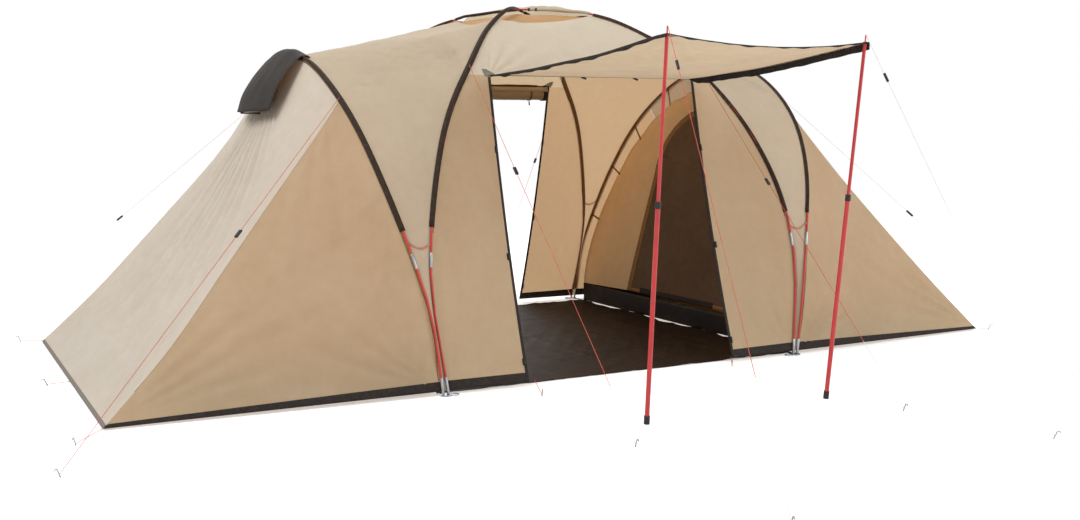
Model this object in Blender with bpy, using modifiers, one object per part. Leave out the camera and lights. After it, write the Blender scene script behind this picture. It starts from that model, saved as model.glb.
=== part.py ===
"""A two-cabin dome tent, pitched, with its front door propped out as an awning.

Two poles cross over the living space and a leaning arch stands on either side of it, all four on
shared feet. The flysheet's panels lie just inside the poles, seam by seam, and are worked out from
the pole curves. Metres, +Z up, +X towards the right-hand cabin, -Y towards the front. The origin is
on the ground below the crown.
"""

import math

import bmesh
import bpy
from mathutils import Matrix, Vector

# Frame: feet of the poles, the crown where they cross, and the two leaning arches
FOOT_X = 1.027
FOOT_Y = 1.200
CROWN_Z = 1.877
ARCH_Z = 1.577
ARCH_LEAN = 0.360
POLE_RADIUS = 0.0055
POLE_FOOT_SPACING = 0.026
POLE_FOOT_Z = 0.0075
PIN_RADIUS = 0.0028
PIN_LENGTH = 0.028
PIN_CLEARANCE = 0.0004
CROSSING_CLEARANCE = 0.0026
CROSSING_REACH = 0.25

# Flysheet
END_X = 2.506
END_Y = 1.112
FABRIC = 0.001
SEAM_GAP = 0.0009
POLE_TO_FABRIC = 0.0004
HEM_Z = 0.022
DOOR_HALF_WIDTH = 0.600
HEADER_Y = 0.800
HEADER_Z = 1.475
WALL_FOOT_Y = 1.215
WALL_BOW = 0.030
END_BEND = 3
SLEEVE_HALF_WIDTH = 0.0140
SLEEVE_CLEARANCE = 0.0008
FLANGE_CLEARANCE = 0.0024
SLEEVE_WALL = 0.0008

# Steps along half a pole from its foot: the door header, the cabin seams, the hood's corners and the
# sleeve ends
STEPS = 15
HEADER_STEP = 8
SEAM_STEP = 10
HOOD_STEP = 13
DIAGONAL_SLEEVE_FROM = 4.15
DIAGONAL_SLEEVE_TO = {(-1, -1): 14.3, (1, -1): 12.7, (1, 1): 12.0, (-1, 1): 12.6}
ARCH_SLEEVE_FROM = 5.1

# Crown vent: where the roof's rims meet the four half poles, and the cover over its rear and right
VENT_STEPS = {(-1, -1): 11.8, (1, -1): 12.75, (1, 1): 13.5, (-1, 1): 12.7}
MOUTH_DROP = 0.027
VENT_LIP_DROP = 0.015
COVER_STEPS_AT_MOUTH = 1.9
COVER_STEPS_AT_REAR = 2.6
COVER_STEPS_BETWEEN = 3.1
COVER_RISE = 0.085
COVER_DROP_AT_POLE = 0.004
COVER_ON_ROOF = 0.0020
COVER_EDGE_LIFT = 0.010
COVER_OVER_POLE = 0.0030
COVER_ON_SIDE_ROOF = 0.026
COVER_LIP = 0.010

# Vent hoods at the two ends: how far each row stands off the end wall and how far above the arch it is,
# at the crest and at the sides
HOOD_CREST = [
    (-0.034, 0.019), (-0.022, 0.043), (0.020, 0.036), (0.075, -0.040), (0.117, -0.168), (0.105, -0.276)
]
HOOD_SIDE = [
    (-0.034, 0.002), (-0.019, 0.017), (0.016, 0.015), (0.046, -0.028), (0.076, -0.128), (0.063, -0.250)
]
HOOD_SEAT_GAP = 0.0003
PROP_RADIUS = 0.004
PROP_GAP = 0.0003

# Awning
AWNING_CENTRE_X = -0.022
AWNING_FOOT_HALF = 0.485
AWNING_TOP_HALF = 0.511
AWNING_FOOT_Y = -2.071
AWNING_TOP_Y = -2.224
AWNING_TOP_Z = 1.582
AWNING_HEM = 0.013
AWNING_SAG = 0.035
AWNING_REAR_HALF = 0.565
HINGE_GAP = 0.0009
SPIKE_RADIUS = 0.003
SPIKE_LENGTH = 0.034
EYELET_RADIUS = 0.0045
UPPER_POLE_RADIUS = 0.0075
LOWER_POLE_RADIUS = 0.0100
LOWER_POLE_BORE = 0.0082
LOWER_POLE_LENGTH = 0.930
POLE_INSERT = 0.380
POLE_CAP_RADIUS = 0.0120
POLE_CAP_HEIGHT = 0.030

# Rolled rear door
ROLL_RADIUS = 0.043
ROLL_GAP = 0.0005

# Groundsheets and inner tents
SHEET_THICKNESS = 0.0015
SHEET_GAP = 0.0006
SHEET_CORNER = 0.050
SHEET_FRONT_Y = -1.150
SHEET_REAR_Y = 1.080
TAB_HALF_WIDTH = 0.012
INNER_SCALE = 0.920
TUB_RIM_Z = 0.120
TUB_GAP = 0.0012
INNER_DOOR_HALF_WIDTH = 0.530
INNER_DOOR_SHOULDER_HALF = 0.470
INNER_DOOR_SHOULDER_Z = 0.950
INNER_DOOR_TOP_Z = 1.330
INNER_DOOR_BOTTOM_Z = 0.135
INNER_DOOR_GAP = 0.0009

# Guy ropes and their runners
ROPE_RADIUS = 0.0015
ROPE_END_GAP = 0.0006
ROPE_PEG_Z = 0.012
RUNNER_LENGTH = 0.045
RUNNER_WIDTH = 0.016
RUNNER_DEPTH = 0.009
RUNNER_BORE = 0.0022

LEFT, RIGHT, FRONT, REAR = -1, 1, -1, 1
SIDE_NAMES = {LEFT: "left", RIGHT: "right"}
END_NAMES = {FRONT: "front", REAR: "rear"}

# Half of each pole as shares of its driving sizes: (x, y, z) from the foot to the crown or the apex
DIAGONAL_SHAPE = [
    (0.987, 1.000, 0.000),
    (1.036, 0.944, 0.265),
    (0.985, 0.877, 0.471),
    (0.853, 0.752, 0.667),
    (0.659, 0.616, 0.818),
    (0.455, 0.428, 0.924),
    (0.233, 0.245, 0.988),
    (0.000, 0.000, 1.000),
]
ARCH_SHAPE = [
    (0.000, 1.000, 0.000),
    (0.130, 0.985, 0.228),
    (0.325, 0.932, 0.414),
    (0.560, 0.846, 0.605),
    (0.742, 0.704, 0.775),
    (0.865, 0.495, 0.906),
    (0.937, 0.254, 0.988),
    (0.980, 0.000, 1.000),
]
# The seam between a cabin's side and its end: how far it has come from the ground corner to the
# arch along x, y and z
SEAM_SHAPE = [
    (0.000, 0.000, 0.000),
    (0.250, 0.199, 0.217),
    (0.470, 0.470, 0.441),
    (0.687, 0.720, 0.664),
    (0.900, 0.913, 0.888),
    (1.000, 1.000, 1.000),
]

# Pegs of the guy ropes, and how far down its rope each runner sits
DIAGONAL_PEGS = {
    (LEFT, FRONT): (-0.745, -2.357, 0.33),
    (RIGHT, FRONT): (0.591, -2.422, 0.38),
    (LEFT, REAR): (-0.760, 2.360, 0.35),
    (RIGHT, REAR): (0.937, 2.291, 0.36),
}
ARCH_PEGS = {
    (LEFT, FRONT): (-2.743, -1.726, 0.43),
    (RIGHT, FRONT): (2.020, -2.210, 0.45),
    (LEFT, REAR): (-2.743, 1.726, 0.50),
    (RIGHT, REAR): (2.400, 1.950, 0.45),
}
AWNING_PEGS = {LEFT: (-0.815, -3.345), RIGHT: (0.775, -3.041)}
DIAGONAL_ROPE_STEP = 9.0
ARCH_ROPE_STEP = 10.0

FABRIC_TAN = (0.50, 0.37, 0.22)
FABRIC_DARK = (0.04, 0.035, 0.035)


def clear_scene():
    """Remove whatever the file held, and make the collections."""
    for item in list(bpy.data.objects):
        bpy.data.objects.remove(item, do_unlink=True)
    made = {}
    for name in ("tent", "cutters"):
        made[name] = bpy.data.collections.new(name)
        bpy.context.scene.collection.children.link(made[name])
    return made


def material_for(name, colour, roughness, metallic=0.0):
    """A Principled material named after its part."""
    material = bpy.data.materials.new(name + "_finish")
    material.use_nodes = True
    shader = material.node_tree.nodes["Principled BSDF"]
    shader.inputs["Base Color"].default_value = (*colour, 1.0)
    shader.inputs["Roughness"].default_value = roughness
    shader.inputs["Metallic"].default_value = metallic
    return material


def adopt(thing, name, colour, roughness=0.8, metallic=0.0):
    """Name an object, give it its material and put it in the tent's collection alone."""
    thing.name = name
    for collection in list(thing.users_collection):
        collection.objects.unlink(thing)
    COLLECTIONS["tent"].objects.link(thing)
    thing.data.materials.clear()
    thing.data.materials.append(material_for(name, colour, roughness, metallic))
    return thing


def as_cutter(thing):
    """Put an object with the cutters, out of the render."""
    for collection in list(thing.users_collection):
        collection.objects.unlink(thing)
    COLLECTIONS["cutters"].objects.link(thing)
    thing.hide_render = True
    thing.display_type = "WIRE"
    return thing


def smooth_curve(controls, count):
    """Evenly spaced points, count steps of them, along a smooth curve through the controls."""
    ends = [2 * controls[0] - controls[1]] + controls + [2 * controls[-1] - controls[-2]]
    fine = []
    for k in range(1, len(ends) - 2):
        a, b, c, d = ends[k - 1 : k + 3]
        for j in range(24):
            t = j / 24
            fine.append(
                0.5
                * (2 * b + (c - a) * t + (2 * a - 5 * b + 4 * c - d) * t * t + (3 * b - a - 3 * c + d) * t**3)
            )
    fine.append(controls[-1].copy())
    reached = [0.0]
    for before, after in zip(fine, fine[1:]):
        reached.append(reached[-1] + (after - before).length)
    points, k = [], 0
    for j in range(count + 1):
        target = reached[-1] * j / count
        while k < len(fine) - 2 and reached[k + 1] < target:
            k += 1
        share = (target - reached[k]) / max(reached[k + 1] - reached[k], 1e-9)
        points.append(fine[k].lerp(fine[k + 1], min(1.0, share)))
    return points


def along(points, position):
    """The point at a place along a list of points, where 3.5 is halfway from the fourth to the fifth."""
    k = min(int(position), len(points) - 2)
    return points[k].lerp(points[k + 1], position - k)


def mirrored(point, side, end):
    """A point of the left front quarter, taken to another quarter of the tent."""
    return Vector((-side * point.x, -end * point.y, point.z))


def diagonal_half():
    """The left front half of a crossing pole's axis, from its foot to the crown."""
    foot_x = FOOT_X - POLE_FOOT_SPACING / 2
    controls = [
        Vector((-x * foot_x / DIAGONAL_SHAPE[0][0], -y * FOOT_Y, POLE_FOOT_Z + z * (CROWN_Z - POLE_FOOT_Z)))
        for x, y, z in DIAGONAL_SHAPE
    ]
    return smooth_curve(controls, STEPS)


def arch_half():
    """The left front half of a leaning arch's axis, from its foot to its apex."""
    foot_x = FOOT_X + POLE_FOOT_SPACING / 2
    controls = [
        Vector((-foot_x - x * ARCH_LEAN, -y * FOOT_Y, POLE_FOOT_Z + z * (ARCH_Z - POLE_FOOT_Z)))
        for x, y, z in ARCH_SHAPE
    ]
    return smooth_curve(controls, STEPS)


def wall_y(z):
    """How far forward the front wall stands at its door, at a height."""
    share = min(1.0, z / HEADER_Z)
    return -(WALL_FOOT_Y + (HEADER_Y - WALL_FOOT_Y) * share - WALL_BOW * 4 * share * (1 - share))


def cabin_seam():
    """The seam between the left cabin's front and its end, from the ground to the arch."""
    start = Vector((-END_X, -END_Y, HEM_Z * 0.4))
    end = ARCH_SEAM[SEAM_STEP]
    controls = [
        start + Vector((x * (end.x - start.x), y * (end.y - start.y), z * (end.z - start.z)))
        for x, y, z in SEAM_SHAPE
    ]
    return smooth_curve(controls, SEAM_STEP)


def outward(tangent, across, point, inside):
    """The unit normal of the surface with these two directions, away from a point inside."""
    normal = tangent.cross(across).normalized()
    return normal if normal.dot(point - inside) > 0 else -normal


def seam_line(axis, towards_one, towards_other, inside):
    """Where two panels meet inside a pole: the axis moved in by the pole's radius and the clearance.

    The directions are those from each point of the axis to a place on either panel. Returns the seam's
    points and the outward direction at each.
    """
    stand_off = POLE_RADIUS + POLE_TO_FABRIC + FABRIC / 2
    seam, ways = [], []
    for k, point in enumerate(axis):
        tangent = axis[min(k + 1, len(axis) - 1)] - axis[max(k - 1, 0)]
        one, other = towards_one[k] - point, towards_other[k] - point
        first = outward(tangent, one, point, inside)
        second = outward(tangent, other, point, point - first)
        way = (first + second).normalized()
        hollow = one.normalized().dot(way) + other.normalized().dot(way) > 0
        seam.append(point - way * (stand_off / max(0.5, way.dot(first)) if hollow else stand_off))
        ways.append(way)
    return seam, ways


def sheet_object(name, rows, colour, roughness=0.8, closed=False, skip=(), thickness=FABRIC):
    """A panel of cloth through rows of points: a grid of faces with a Solidify modifier."""
    mesh = bmesh.new()
    grid = [[mesh.verts.new(point) for point in row] for row in rows]
    width = len(rows[0])
    for j in range(len(rows) - 1):
        for k in range(width if closed else width - 1):
            if (j, k) not in skip:
                after = (k + 1) % width
                mesh.faces.new((grid[j][k], grid[j][after], grid[j + 1][after], grid[j + 1][k]))
    for vertex in [v for v in mesh.verts if not v.link_faces]:
        mesh.verts.remove(vertex)
    bmesh.ops.remove_doubles(mesh, verts=mesh.verts, dist=0.00005)
    bmesh.ops.recalc_face_normals(mesh, faces=mesh.faces)
    data = bpy.data.meshes.new(name)
    mesh.to_mesh(data)
    mesh.free()
    data.shade_smooth()
    thing = bpy.data.objects.new(name, data)
    bpy.context.scene.collection.objects.link(thing)
    wall = thing.modifiers.new("cloth", "SOLIDIFY")
    wall.thickness = thickness
    wall.offset = 0.0
    return adopt(thing, name, colour, roughness)


def pulled_in(rows, start=0.0, end=0.0, first=0.0, last=0.0):
    """Rows of points with their ends, and the first and last row, drawn in by lengths along the cloth."""
    rows = [list(row) for row in rows]
    for row in rows:
        if start:
            row[0] = row[0] + (row[1] - row[0]).normalized() * start
        if end:
            row[-1] = row[-1] + (row[-2] - row[-1]).normalized() * end
    for k in range(len(rows[0])):
        if first:
            rows[0][k] = rows[0][k] + (rows[1][k] - rows[0][k]).normalized() * first
        if last:
            rows[-1][k] = rows[-1][k] + (rows[-2][k] - rows[-1][k]).normalized() * last
    return rows


def tube_mesh(name, points, radius, sides_resolution=2):
    """A tube along points as a closed mesh, from a curve whose caps are welded on."""
    curve = bpy.data.curves.new(name, "CURVE")
    curve.dimensions = "3D"
    curve.bevel_depth = radius
    curve.bevel_resolution = sides_resolution
    curve.use_fill_caps = True
    spline = curve.splines.new("POLY")
    spline.points.add(len(points) - 1)
    for place, point in zip(spline.points, points):
        place.co = (*point, 1.0)
    bent = bpy.data.objects.new(name + "_curve", curve)
    bpy.context.scene.collection.objects.link(bent)
    data = bpy.data.meshes.new_from_object(bent.evaluated_get(bpy.context.evaluated_depsgraph_get()))
    bpy.data.objects.remove(bent, do_unlink=True)
    mesh = bmesh.new()
    mesh.from_mesh(data)
    bmesh.ops.remove_doubles(mesh, verts=mesh.verts, dist=0.00001)
    bmesh.ops.recalc_face_normals(mesh, faces=mesh.faces)
    mesh.to_mesh(data)
    mesh.free()
    thing = bpy.data.objects.new(name, data)
    bpy.context.scene.collection.objects.link(thing)
    return thing


def rod(name, start, end, radius, sides=12):
    """A straight round bar between two points, from a cylinder primitive."""
    way = end - start
    bpy.ops.mesh.primitive_cylinder_add(vertices=sides, radius=radius, depth=way.length)
    bar = bpy.context.object
    bar.name = name
    turn = way.to_track_quat("Z", "Y").to_matrix().to_4x4()
    bar.matrix_world = Matrix.Translation((start + end) / 2) @ turn
    return bar


def pivot_at(thing, place):
    """Move an object's origin to a place on its joint's axis, with its shape where it was."""
    local = thing.matrix_world.inverted() @ place
    thing.data.transform(Matrix.Translation(-local))
    thing.matrix_world = thing.matrix_world @ Matrix.Translation(local)


def combine(target, other, operation):
    """A Boolean of another object on a target, which stays a modifier."""
    step = target.modifiers.new(operation.lower(), "BOOLEAN")
    step.operation = operation
    step.object = as_cutter(other)


def bulged(row, way, depth):
    """A row of points pushed along a direction, most in its middle."""
    last = len(row) - 1
    return [point + way * (depth * 4 * (k / last) * (1 - k / last)) for k, point in enumerate(row)]


def straight(a, b, columns):
    """Points in equal steps from one point to another."""
    return [a.lerp(b, k / columns) for k in range(columns + 1)]


def quarter(points, side, end):
    """A list of points taken from the left front quarter to another."""
    return [mirrored(point, side, end) for point in points]


def whole_axis(half, first, second, lift=0.0):
    """A pole's whole axis from one foot over the top to the other, lifted where it crosses another pole."""
    points = quarter(half, *first) + quarter(half[:-1], *second)[::-1]
    top = half[-1]
    lifted = []
    for point in points:
        near = max(0.0, 1 - (Vector((point.x, point.y)) - Vector((top.x, top.y))).length / CROSSING_REACH)
        lifted.append(point + Vector((0, 0, lift * near)))
    return lifted


def pole_object(name, axis):
    """A bent pole with a blind bore in each end for its pin."""
    pole = adopt(tube_mesh(name, axis, POLE_RADIUS), name, (0.45, 0.06, 0.05), 0.35)
    for foot, above in ((axis[0], axis[1]), (axis[-1], axis[-2])):
        way = (above - foot).normalized()
        cutter = rod(
            name + "_bore",
            foot - way * PIN_RADIUS,
            foot + way * (PIN_LENGTH + PIN_CLEARANCE),
            PIN_RADIUS + PIN_CLEARANCE,
        )
        combine(pole, cutter, "DIFFERENCE")
    return pole


def build_poles():
    """The two crossing poles, one lifted over the other, and the two arches."""
    lift = POLE_RADIUS + CROSSING_CLEARANCE / 2
    pole_object("diagonal_pole_lower", whole_axis(DIAGONAL, (LEFT, FRONT), (RIGHT, REAR), -lift))
    pole_object("diagonal_pole_upper", whole_axis(DIAGONAL, (RIGHT, FRONT), (LEFT, REAR), lift))
    for side in (LEFT, RIGHT):
        pole_object("arch_pole_" + SIDE_NAMES[side], whole_axis(ARCH, (side, FRONT), (side, REAR)))


def build_feet():
    """Under each corner of the living space, a base with a ring and the pins of two poles."""
    for end in (FRONT, REAR):
        for side in (LEFT, RIGHT):
            centre = mirrored(Vector((-FOOT_X, -FOOT_Y, 0)), side, end)
            bpy.ops.mesh.primitive_cylinder_add(
                vertices=20, radius=POLE_FOOT_SPACING, depth=0.006, location=centre + Vector((0, 0, 0.003))
            )
            name = f"pin_and_ring_{END_NAMES[end]}_{SIDE_NAMES[side]}"
            base = adopt(bpy.context.object, name, (0.35, 0.35, 0.35), 0.4, 1.0)
            bpy.ops.mesh.primitive_torus_add(
                major_segments=16,
                minor_segments=6,
                major_radius=0.020,
                minor_radius=0.0028,
                location=centre + Vector((-side * 0.043, 0, 0.003)),
            )
            combine(base, bpy.context.object, "UNION")
            for half in (DIAGONAL, ARCH):
                foot, above = (mirrored(point, side, end) for point in half[:2])
                way = (above - foot).normalized()
                combine(
                    base,
                    rod(name + "_pin", foot - way * 0.004, foot + way * PIN_LENGTH, PIN_RADIUS, 10),
                    "UNION",
                )


def sleeve_object(name, axis, seam, ones, others):
    """A pole sleeve: a strip over the outside of a pole, with a flange sewn to each panel beside it.

    The four lists hold, step by step, the pole's axis, the seam under it and the directions in which
    the two panels leave the seam.
    """
    loop = POLE_RADIUS + SLEEVE_CLEARANCE + SLEEVE_WALL / 2
    lift = FABRIC / 2 + FLANGE_CLEARANCE + SLEEVE_WALL / 2
    rows = []
    for k, point in enumerate(axis):
        tangent = (axis[min(k + 1, len(axis) - 1)] - axis[max(k - 1, 0)]).normalized()
        up = point - seam[k]
        up = (up - tangent * up.dot(tangent)).normalized()
        side = tangent.cross(up)
        if side.dot(ones[k]) < 0:
            side = -side
        row = []
        for way, facing in ((ones[k], side), (others[k], -side)):
            way = (way - tangent * way.dot(tangent)).normalized()
            normal = (up - way * up.dot(way)).normalized()
            flange = seam[k] + way * SLEEVE_HALF_WIDTH + normal * lift
            row.append(flange)
        arc = [math.radians(angle) for angle in (10, 50, 90, 130, 170)]
        top = [point + side * (loop * math.cos(a)) + up * (loop * math.sin(a)) for a in arc]
        rows.append([row[0]] + top + [row[1]])
    return sheet_object(name, rows, FABRIC_DARK, thickness=SLEEVE_WALL)


def panel_ways(rows, column, beside):
    """The direction in which each row of a panel leaves its edge."""
    return [(row[beside] - row[column]).normalized() for row in rows]


def build_sleeves():
    """Four sleeves on the crossing poles, and one over each arch."""
    lift = POLE_RADIUS + CROSSING_CLEARANCE / 2
    wall_ways = panel_ways(door_panel_rows(FRONT, STEPS - 1, STEPS - 1, VENT_LIP_DROP)[:-1], 0, 1)
    wall_ways += wall_ways[-1:] * (STEPS + 1 - len(wall_ways))
    roof = side_roof_rows(LEFT)[: STEPS + 1]
    roof_ways = panel_ways(roof, 0, 1)
    for end in (FRONT, REAR):
        for side in (LEFT, RIGHT):
            upper = (side == RIGHT) == (end == FRONT)
            last = DIAGONAL_SLEEVE_TO[(side, end)]
            axis = whole_axis(DIAGONAL, (side, end), (-side, -end), lift if upper else -lift)
            lists = [axis] + [quarter(line, side, end) for line in (DIAGONAL_SEAM, wall_ways, roof_ways)]
            places = [DIAGONAL_SLEEVE_FROM] + list(range(5, math.ceil(last))) + [last]
            name = f"diagonal_sleeve_{END_NAMES[end]}_{SIDE_NAMES[side]}"
            sleeve_object(name, *[[along(line, p) for p in places] for line in lists])
    inner_ways = panel_ways(roof, -1, -2)
    ends = cabin_end_rows()
    end_ways = [(low - high).normalized() for low, high in zip(ends[-2], ends[-1])][: STEPS - SEAM_STEP + 1]
    outer_ways = panel_ways(cabin_side_rows(), 0, 1)[:-1] + end_ways
    for side in (LEFT, RIGHT):
        lists = []
        for line in (ARCH, ARCH_SEAM, inner_ways, outer_ways):
            lists.append(quarter(line, side, FRONT) + quarter(line[:-1], side, REAR)[::-1])
        low, high = ARCH_SLEEVE_FROM, 2 * STEPS - ARCH_SLEEVE_FROM
        places = [low] + list(range(int(low) + 1, math.ceil(high))) + [high]
        name = "arch_sleeve_" + SIDE_NAMES[side]
        sleeve_object(name, *[[along(line, p) for p in places] for line in lists])


def hemmed(half):
    """A seam's points with the lowest one raised to the hem."""
    share = (HEM_Z - half[0].z) / (half[1].z - half[0].z)
    return [half[0].lerp(half[1], max(0.0, share))] + list(half[1:])


def roof_point(near, far, share, drop):
    """A point on a roof panel between two seams, with the sag that the vent's rim has."""
    point = near.lerp(far, share)
    return point - Vector((0, 0, drop * 4 * share * (1 - share)))


def door_panel_rows(end, left_rim, right_rim, drop):
    """The rows of the front or rear panel, from the hem to its rim at the crown vent."""
    left = hemmed(DIAGONAL_SEAM)
    right = quarter(left, RIGHT, FRONT)
    rows = []
    for step in range(HEADER_STEP + 1):
        z = HEADER_Z * step / HEADER_STEP if step else HEM_Z
        edge = Vector((-DOOR_HALF_WIDTH, wall_y(z), z))
        strip = straight(left[step], edge, 2)
        middle = [Vector((x * DOOR_HALF_WIDTH, wall_y(z), z)) for x in (-0.5, 0, 0.5)]
        rows.append(strip + middle + [mirrored(point, RIGHT, FRONT) for point in strip][::-1])
    shares = [(point.x - rows[-1][0].x) / (2 * -rows[-1][0].x) for point in rows[-1]]
    steps = STEPS - 2 - HEADER_STEP
    for k in range(1, steps + 1):
        up = k / steps
        near = along(left, HEADER_STEP + (left_rim - HEADER_STEP) * up)
        far = along(right, HEADER_STEP + (right_rim - HEADER_STEP) * up)
        rows.append([roof_point(near, far, share, drop * up**3) for share in shares])
    return [quarter(row, LEFT, end) for row in rows]


def build_door_panels():
    """The front and rear panels: a wall either side of a doorway, and the roof above it."""
    doorway = {(step, k) for step in range(HEADER_STEP) for k in range(2, 6)}
    for end, drop in ((FRONT, MOUTH_DROP), (REAR, VENT_LIP_DROP)):
        rows = door_panel_rows(end, VENT_STEPS[(LEFT, end)], VENT_STEPS[(RIGHT, end)], drop)
        rows = pulled_in(rows, start=SEAM_GAP, end=SEAM_GAP)
        sheet_object(END_NAMES[end] + "_panel", rows, FABRIC_TAN, skip=doorway)


def side_roof_rows(side):
    """The rows of the roof between the crossing poles and an arch, from the front foot to the rear foot."""
    inner, outer = hemmed(DIAGONAL_SEAM), hemmed(ARCH_SEAM)
    drop = MOUTH_DROP if side == LEFT else VENT_LIP_DROP
    front_rim, rear_rim = VENT_STEPS[(side, FRONT)], VENT_STEPS[(side, REAR)]
    front_point = along(inner, front_rim)
    rear_point = mirrored(along(inner, rear_rim), LEFT, REAR)
    rows = []
    for place in range(2 * STEPS + 1):
        end = FRONT if place <= STEPS else REAR
        step = min(place, 2 * STEPS - place)
        rim = front_rim if end == FRONT else rear_rim
        near, far = mirrored(inner[step], LEFT, end), mirrored(outer[step], LEFT, end)
        if step > rim - 0.3:
            share = (place - front_rim) / (2 * STEPS - front_rim - rear_rim)
            near = roof_point(front_point, rear_point, min(1.0, max(0.0, share)), drop)
        rows.append(straight(near, far, 4))
    return [quarter(row, side, FRONT) for row in rows]


def build_side_roofs():
    """The roof panels left and right of the crown."""
    for side in (LEFT, RIGHT):
        rows = pulled_in(side_roof_rows(side), start=SEAM_GAP, end=SEAM_GAP)
        sheet_object("side_roof_" + SIDE_NAMES[side], rows, FABRIC_TAN)


def cabin_side_rows():
    """The rows of the left cabin's front wall, from the hem to its tip at the arch."""
    arch = hemmed(ARCH_SEAM)
    rows = []
    for step in range(SEAM_STEP + 1):
        sag = 0.020 * math.sin(math.pi * step / SEAM_STEP)
        rows.append(bulged(straight(arch[step], SEAM[step], 4), Vector((0.3, 1, 0)).normalized(), sag))
    return rows


def cabin_end_rows():
    """The rows of the left cabin's end wall, from the hem to the arch, towards which they bend up."""
    top = ARCH_SEAM[SEAM_STEP:] + [mirrored(point, LEFT, REAR) for point in ARCH_SEAM[SEAM_STEP:-1]][::-1]
    columns = len(top) - 1
    bends = [point - flat for point, flat in zip(top, straight(top[0], top[-1], columns))]
    rows = []
    for step in range(SEAM_STEP + 1):
        share = step / SEAM_STEP
        row = straight(SEAM[step], mirrored(SEAM[step], LEFT, REAR), columns)
        row = bulged(row, Vector((1, 0, 0)), 0.020 * math.sin(math.pi * share))
        rows.append([point + bend * share**END_BEND for point, bend in zip(row, bends)])
    return rows


def build_cabins():
    """Front, rear and end walls of the two sleeping cabins."""
    side_rows, end_rows = cabin_side_rows(), cabin_end_rows()
    for side in (LEFT, RIGHT):
        for end in (FRONT, REAR):
            rows = [quarter(row, side, end) for row in side_rows]
            rows[-1] = [near.lerp(tip, 0.93) for near, tip in zip(rows[-2], rows[-1])]
            rows = pulled_in(rows, start=SEAM_GAP, end=SEAM_GAP)
            sheet_object(f"cabin_{SIDE_NAMES[side]}_{END_NAMES[end]}", rows, FABRIC_TAN)
        rows = [quarter(row, side, FRONT) for row in end_rows]
        rows = pulled_in(rows, start=SEAM_GAP, end=SEAM_GAP, last=SEAM_GAP)
        sheet_object(f"cabin_{SIDE_NAMES[side]}_end", rows, FABRIC_TAN)


def cover_point(turn, reach):
    """A point of the crown vent's cover.

    The turn goes from 0 at the front right pole over 0.5 at the rear right one to 1 at the rear left
    one, and the reach from the crown outwards to 1.
    """
    corners = [(RIGHT, FRONT), (RIGHT, REAR), (LEFT, REAR)]
    quadrant = 0 if turn < 0.5 else 1
    share = 2 * turn - quadrant
    between = math.sin(math.pi * share) ** 0.8 if 0 < share < 1 else 0.0
    over = math.sin(math.pi * turn)
    at_pole = COVER_STEPS_AT_MOUTH + (COVER_STEPS_AT_REAR - COVER_STEPS_AT_MOUTH) * over**2
    place = STEPS - reach * (at_pole + (COVER_STEPS_BETWEEN - at_pole) * between)
    pair = corners[quadrant : quadrant + 2]
    near, far = (mirrored(along(DIAGONAL_SEAM, place), *corner) for corner in pair)
    up = min(1.0, (place - HEADER_STEP) / (STEPS - 2 - HEADER_STEP))
    point = roof_point(near, far, share, VENT_LIP_DROP * up**3 * reach**2)
    under_pole = POLE_RADIUS + CROSSING_CLEARANCE / 2
    close = max(0.0, 1 - Vector((point.x, point.y)).length / CROSSING_REACH)
    height = POLE_RADIUS + POLE_TO_FABRIC + FABRIC / 2 - under_pole * (1 - close) * (1 - over)
    height -= COVER_DROP_AT_POLE * reach * (1 - over)
    rest = COVER_ON_ROOF + COVER_EDGE_LIFT * (1 - between)
    rest += POLE_RADIUS + COVER_OVER_POLE if over > 0.999 else 0.0
    rest += COVER_ON_SIDE_ROOF * between**0.5 if quadrant == 0 else 0.0
    height += (rest - height) * reach**3 * min(1.0, over * 5)
    chord = (1 - over**2) * 0.35 + 0.65
    dome = COVER_RISE * over * chord * max(0.0, math.sin(math.pi * reach**1.3))
    return point + Vector((0, 0, height + dome))


def build_vent_cover():
    """The crown vent's cover: a dome over the right and rear of the crossing, open to the front left."""
    sectors, rings = 16, 6
    rows = []
    for k in range(sectors + 1):
        rows.append([cover_point(k / sectors, 0.06 + 0.94 * ring / rings) for ring in range(rings + 1)])
    way = Vector((-1, -1, 0)).normalized() * COVER_LIP
    rows = [[point + way for point in rows[0]]] + rows + [[point + way for point in rows[-1]]]
    sheet_object("crown_vent_cover", rows, (0.62, 0.56, 0.46))


def hood_rows():
    """The rows of the left vent hood, from its sewn edge over the arch to its rim."""
    rows = []
    places = [HOOD_STEP, HOOD_STEP + 1, STEPS]
    for (crest_out, crest_up), (side_out, side_up) in zip(HOOD_CREST, HOOD_SIDE):
        row = []
        for place in places:
            middle = 1 - ((STEPS - place) / (STEPS - HOOD_STEP)) ** 2
            out = side_out + (crest_out - side_out) * middle
            up = side_up + (crest_up - side_up) * middle
            out += ARCH_SEAM[STEPS].x - end_wall_x(ARCH_SEAM[place].z + up)
            row.append(ARCH_SEAM[place] + Vector((-out, 0, up)))
        rows.append(row + [mirrored(point, LEFT, REAR) for point in row[:-1]][::-1])
    seats = [ARCH_SEAM[place].lerp(DIAGONAL_SEAM[place], 0.026) for place in places]
    seats = [seat + Vector((0, 0, FABRIC + HOOD_SEAT_GAP)) for seat in seats]
    rows[0] = seats + [mirrored(point, LEFT, REAR) for point in seats[:-1]][::-1]
    return rows


def end_wall_x(z):
    """Where the middle of the left cabin's end wall stands, at a height."""
    middle = [row[len(row) // 2] for row in cabin_end_rows()]
    for low, high in zip(middle, middle[1:]):
        if low.z <= z <= high.z:
            return low.x + (high.x - low.x) * (z - low.z) / (high.z - low.z)
    return middle[-1].x


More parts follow.
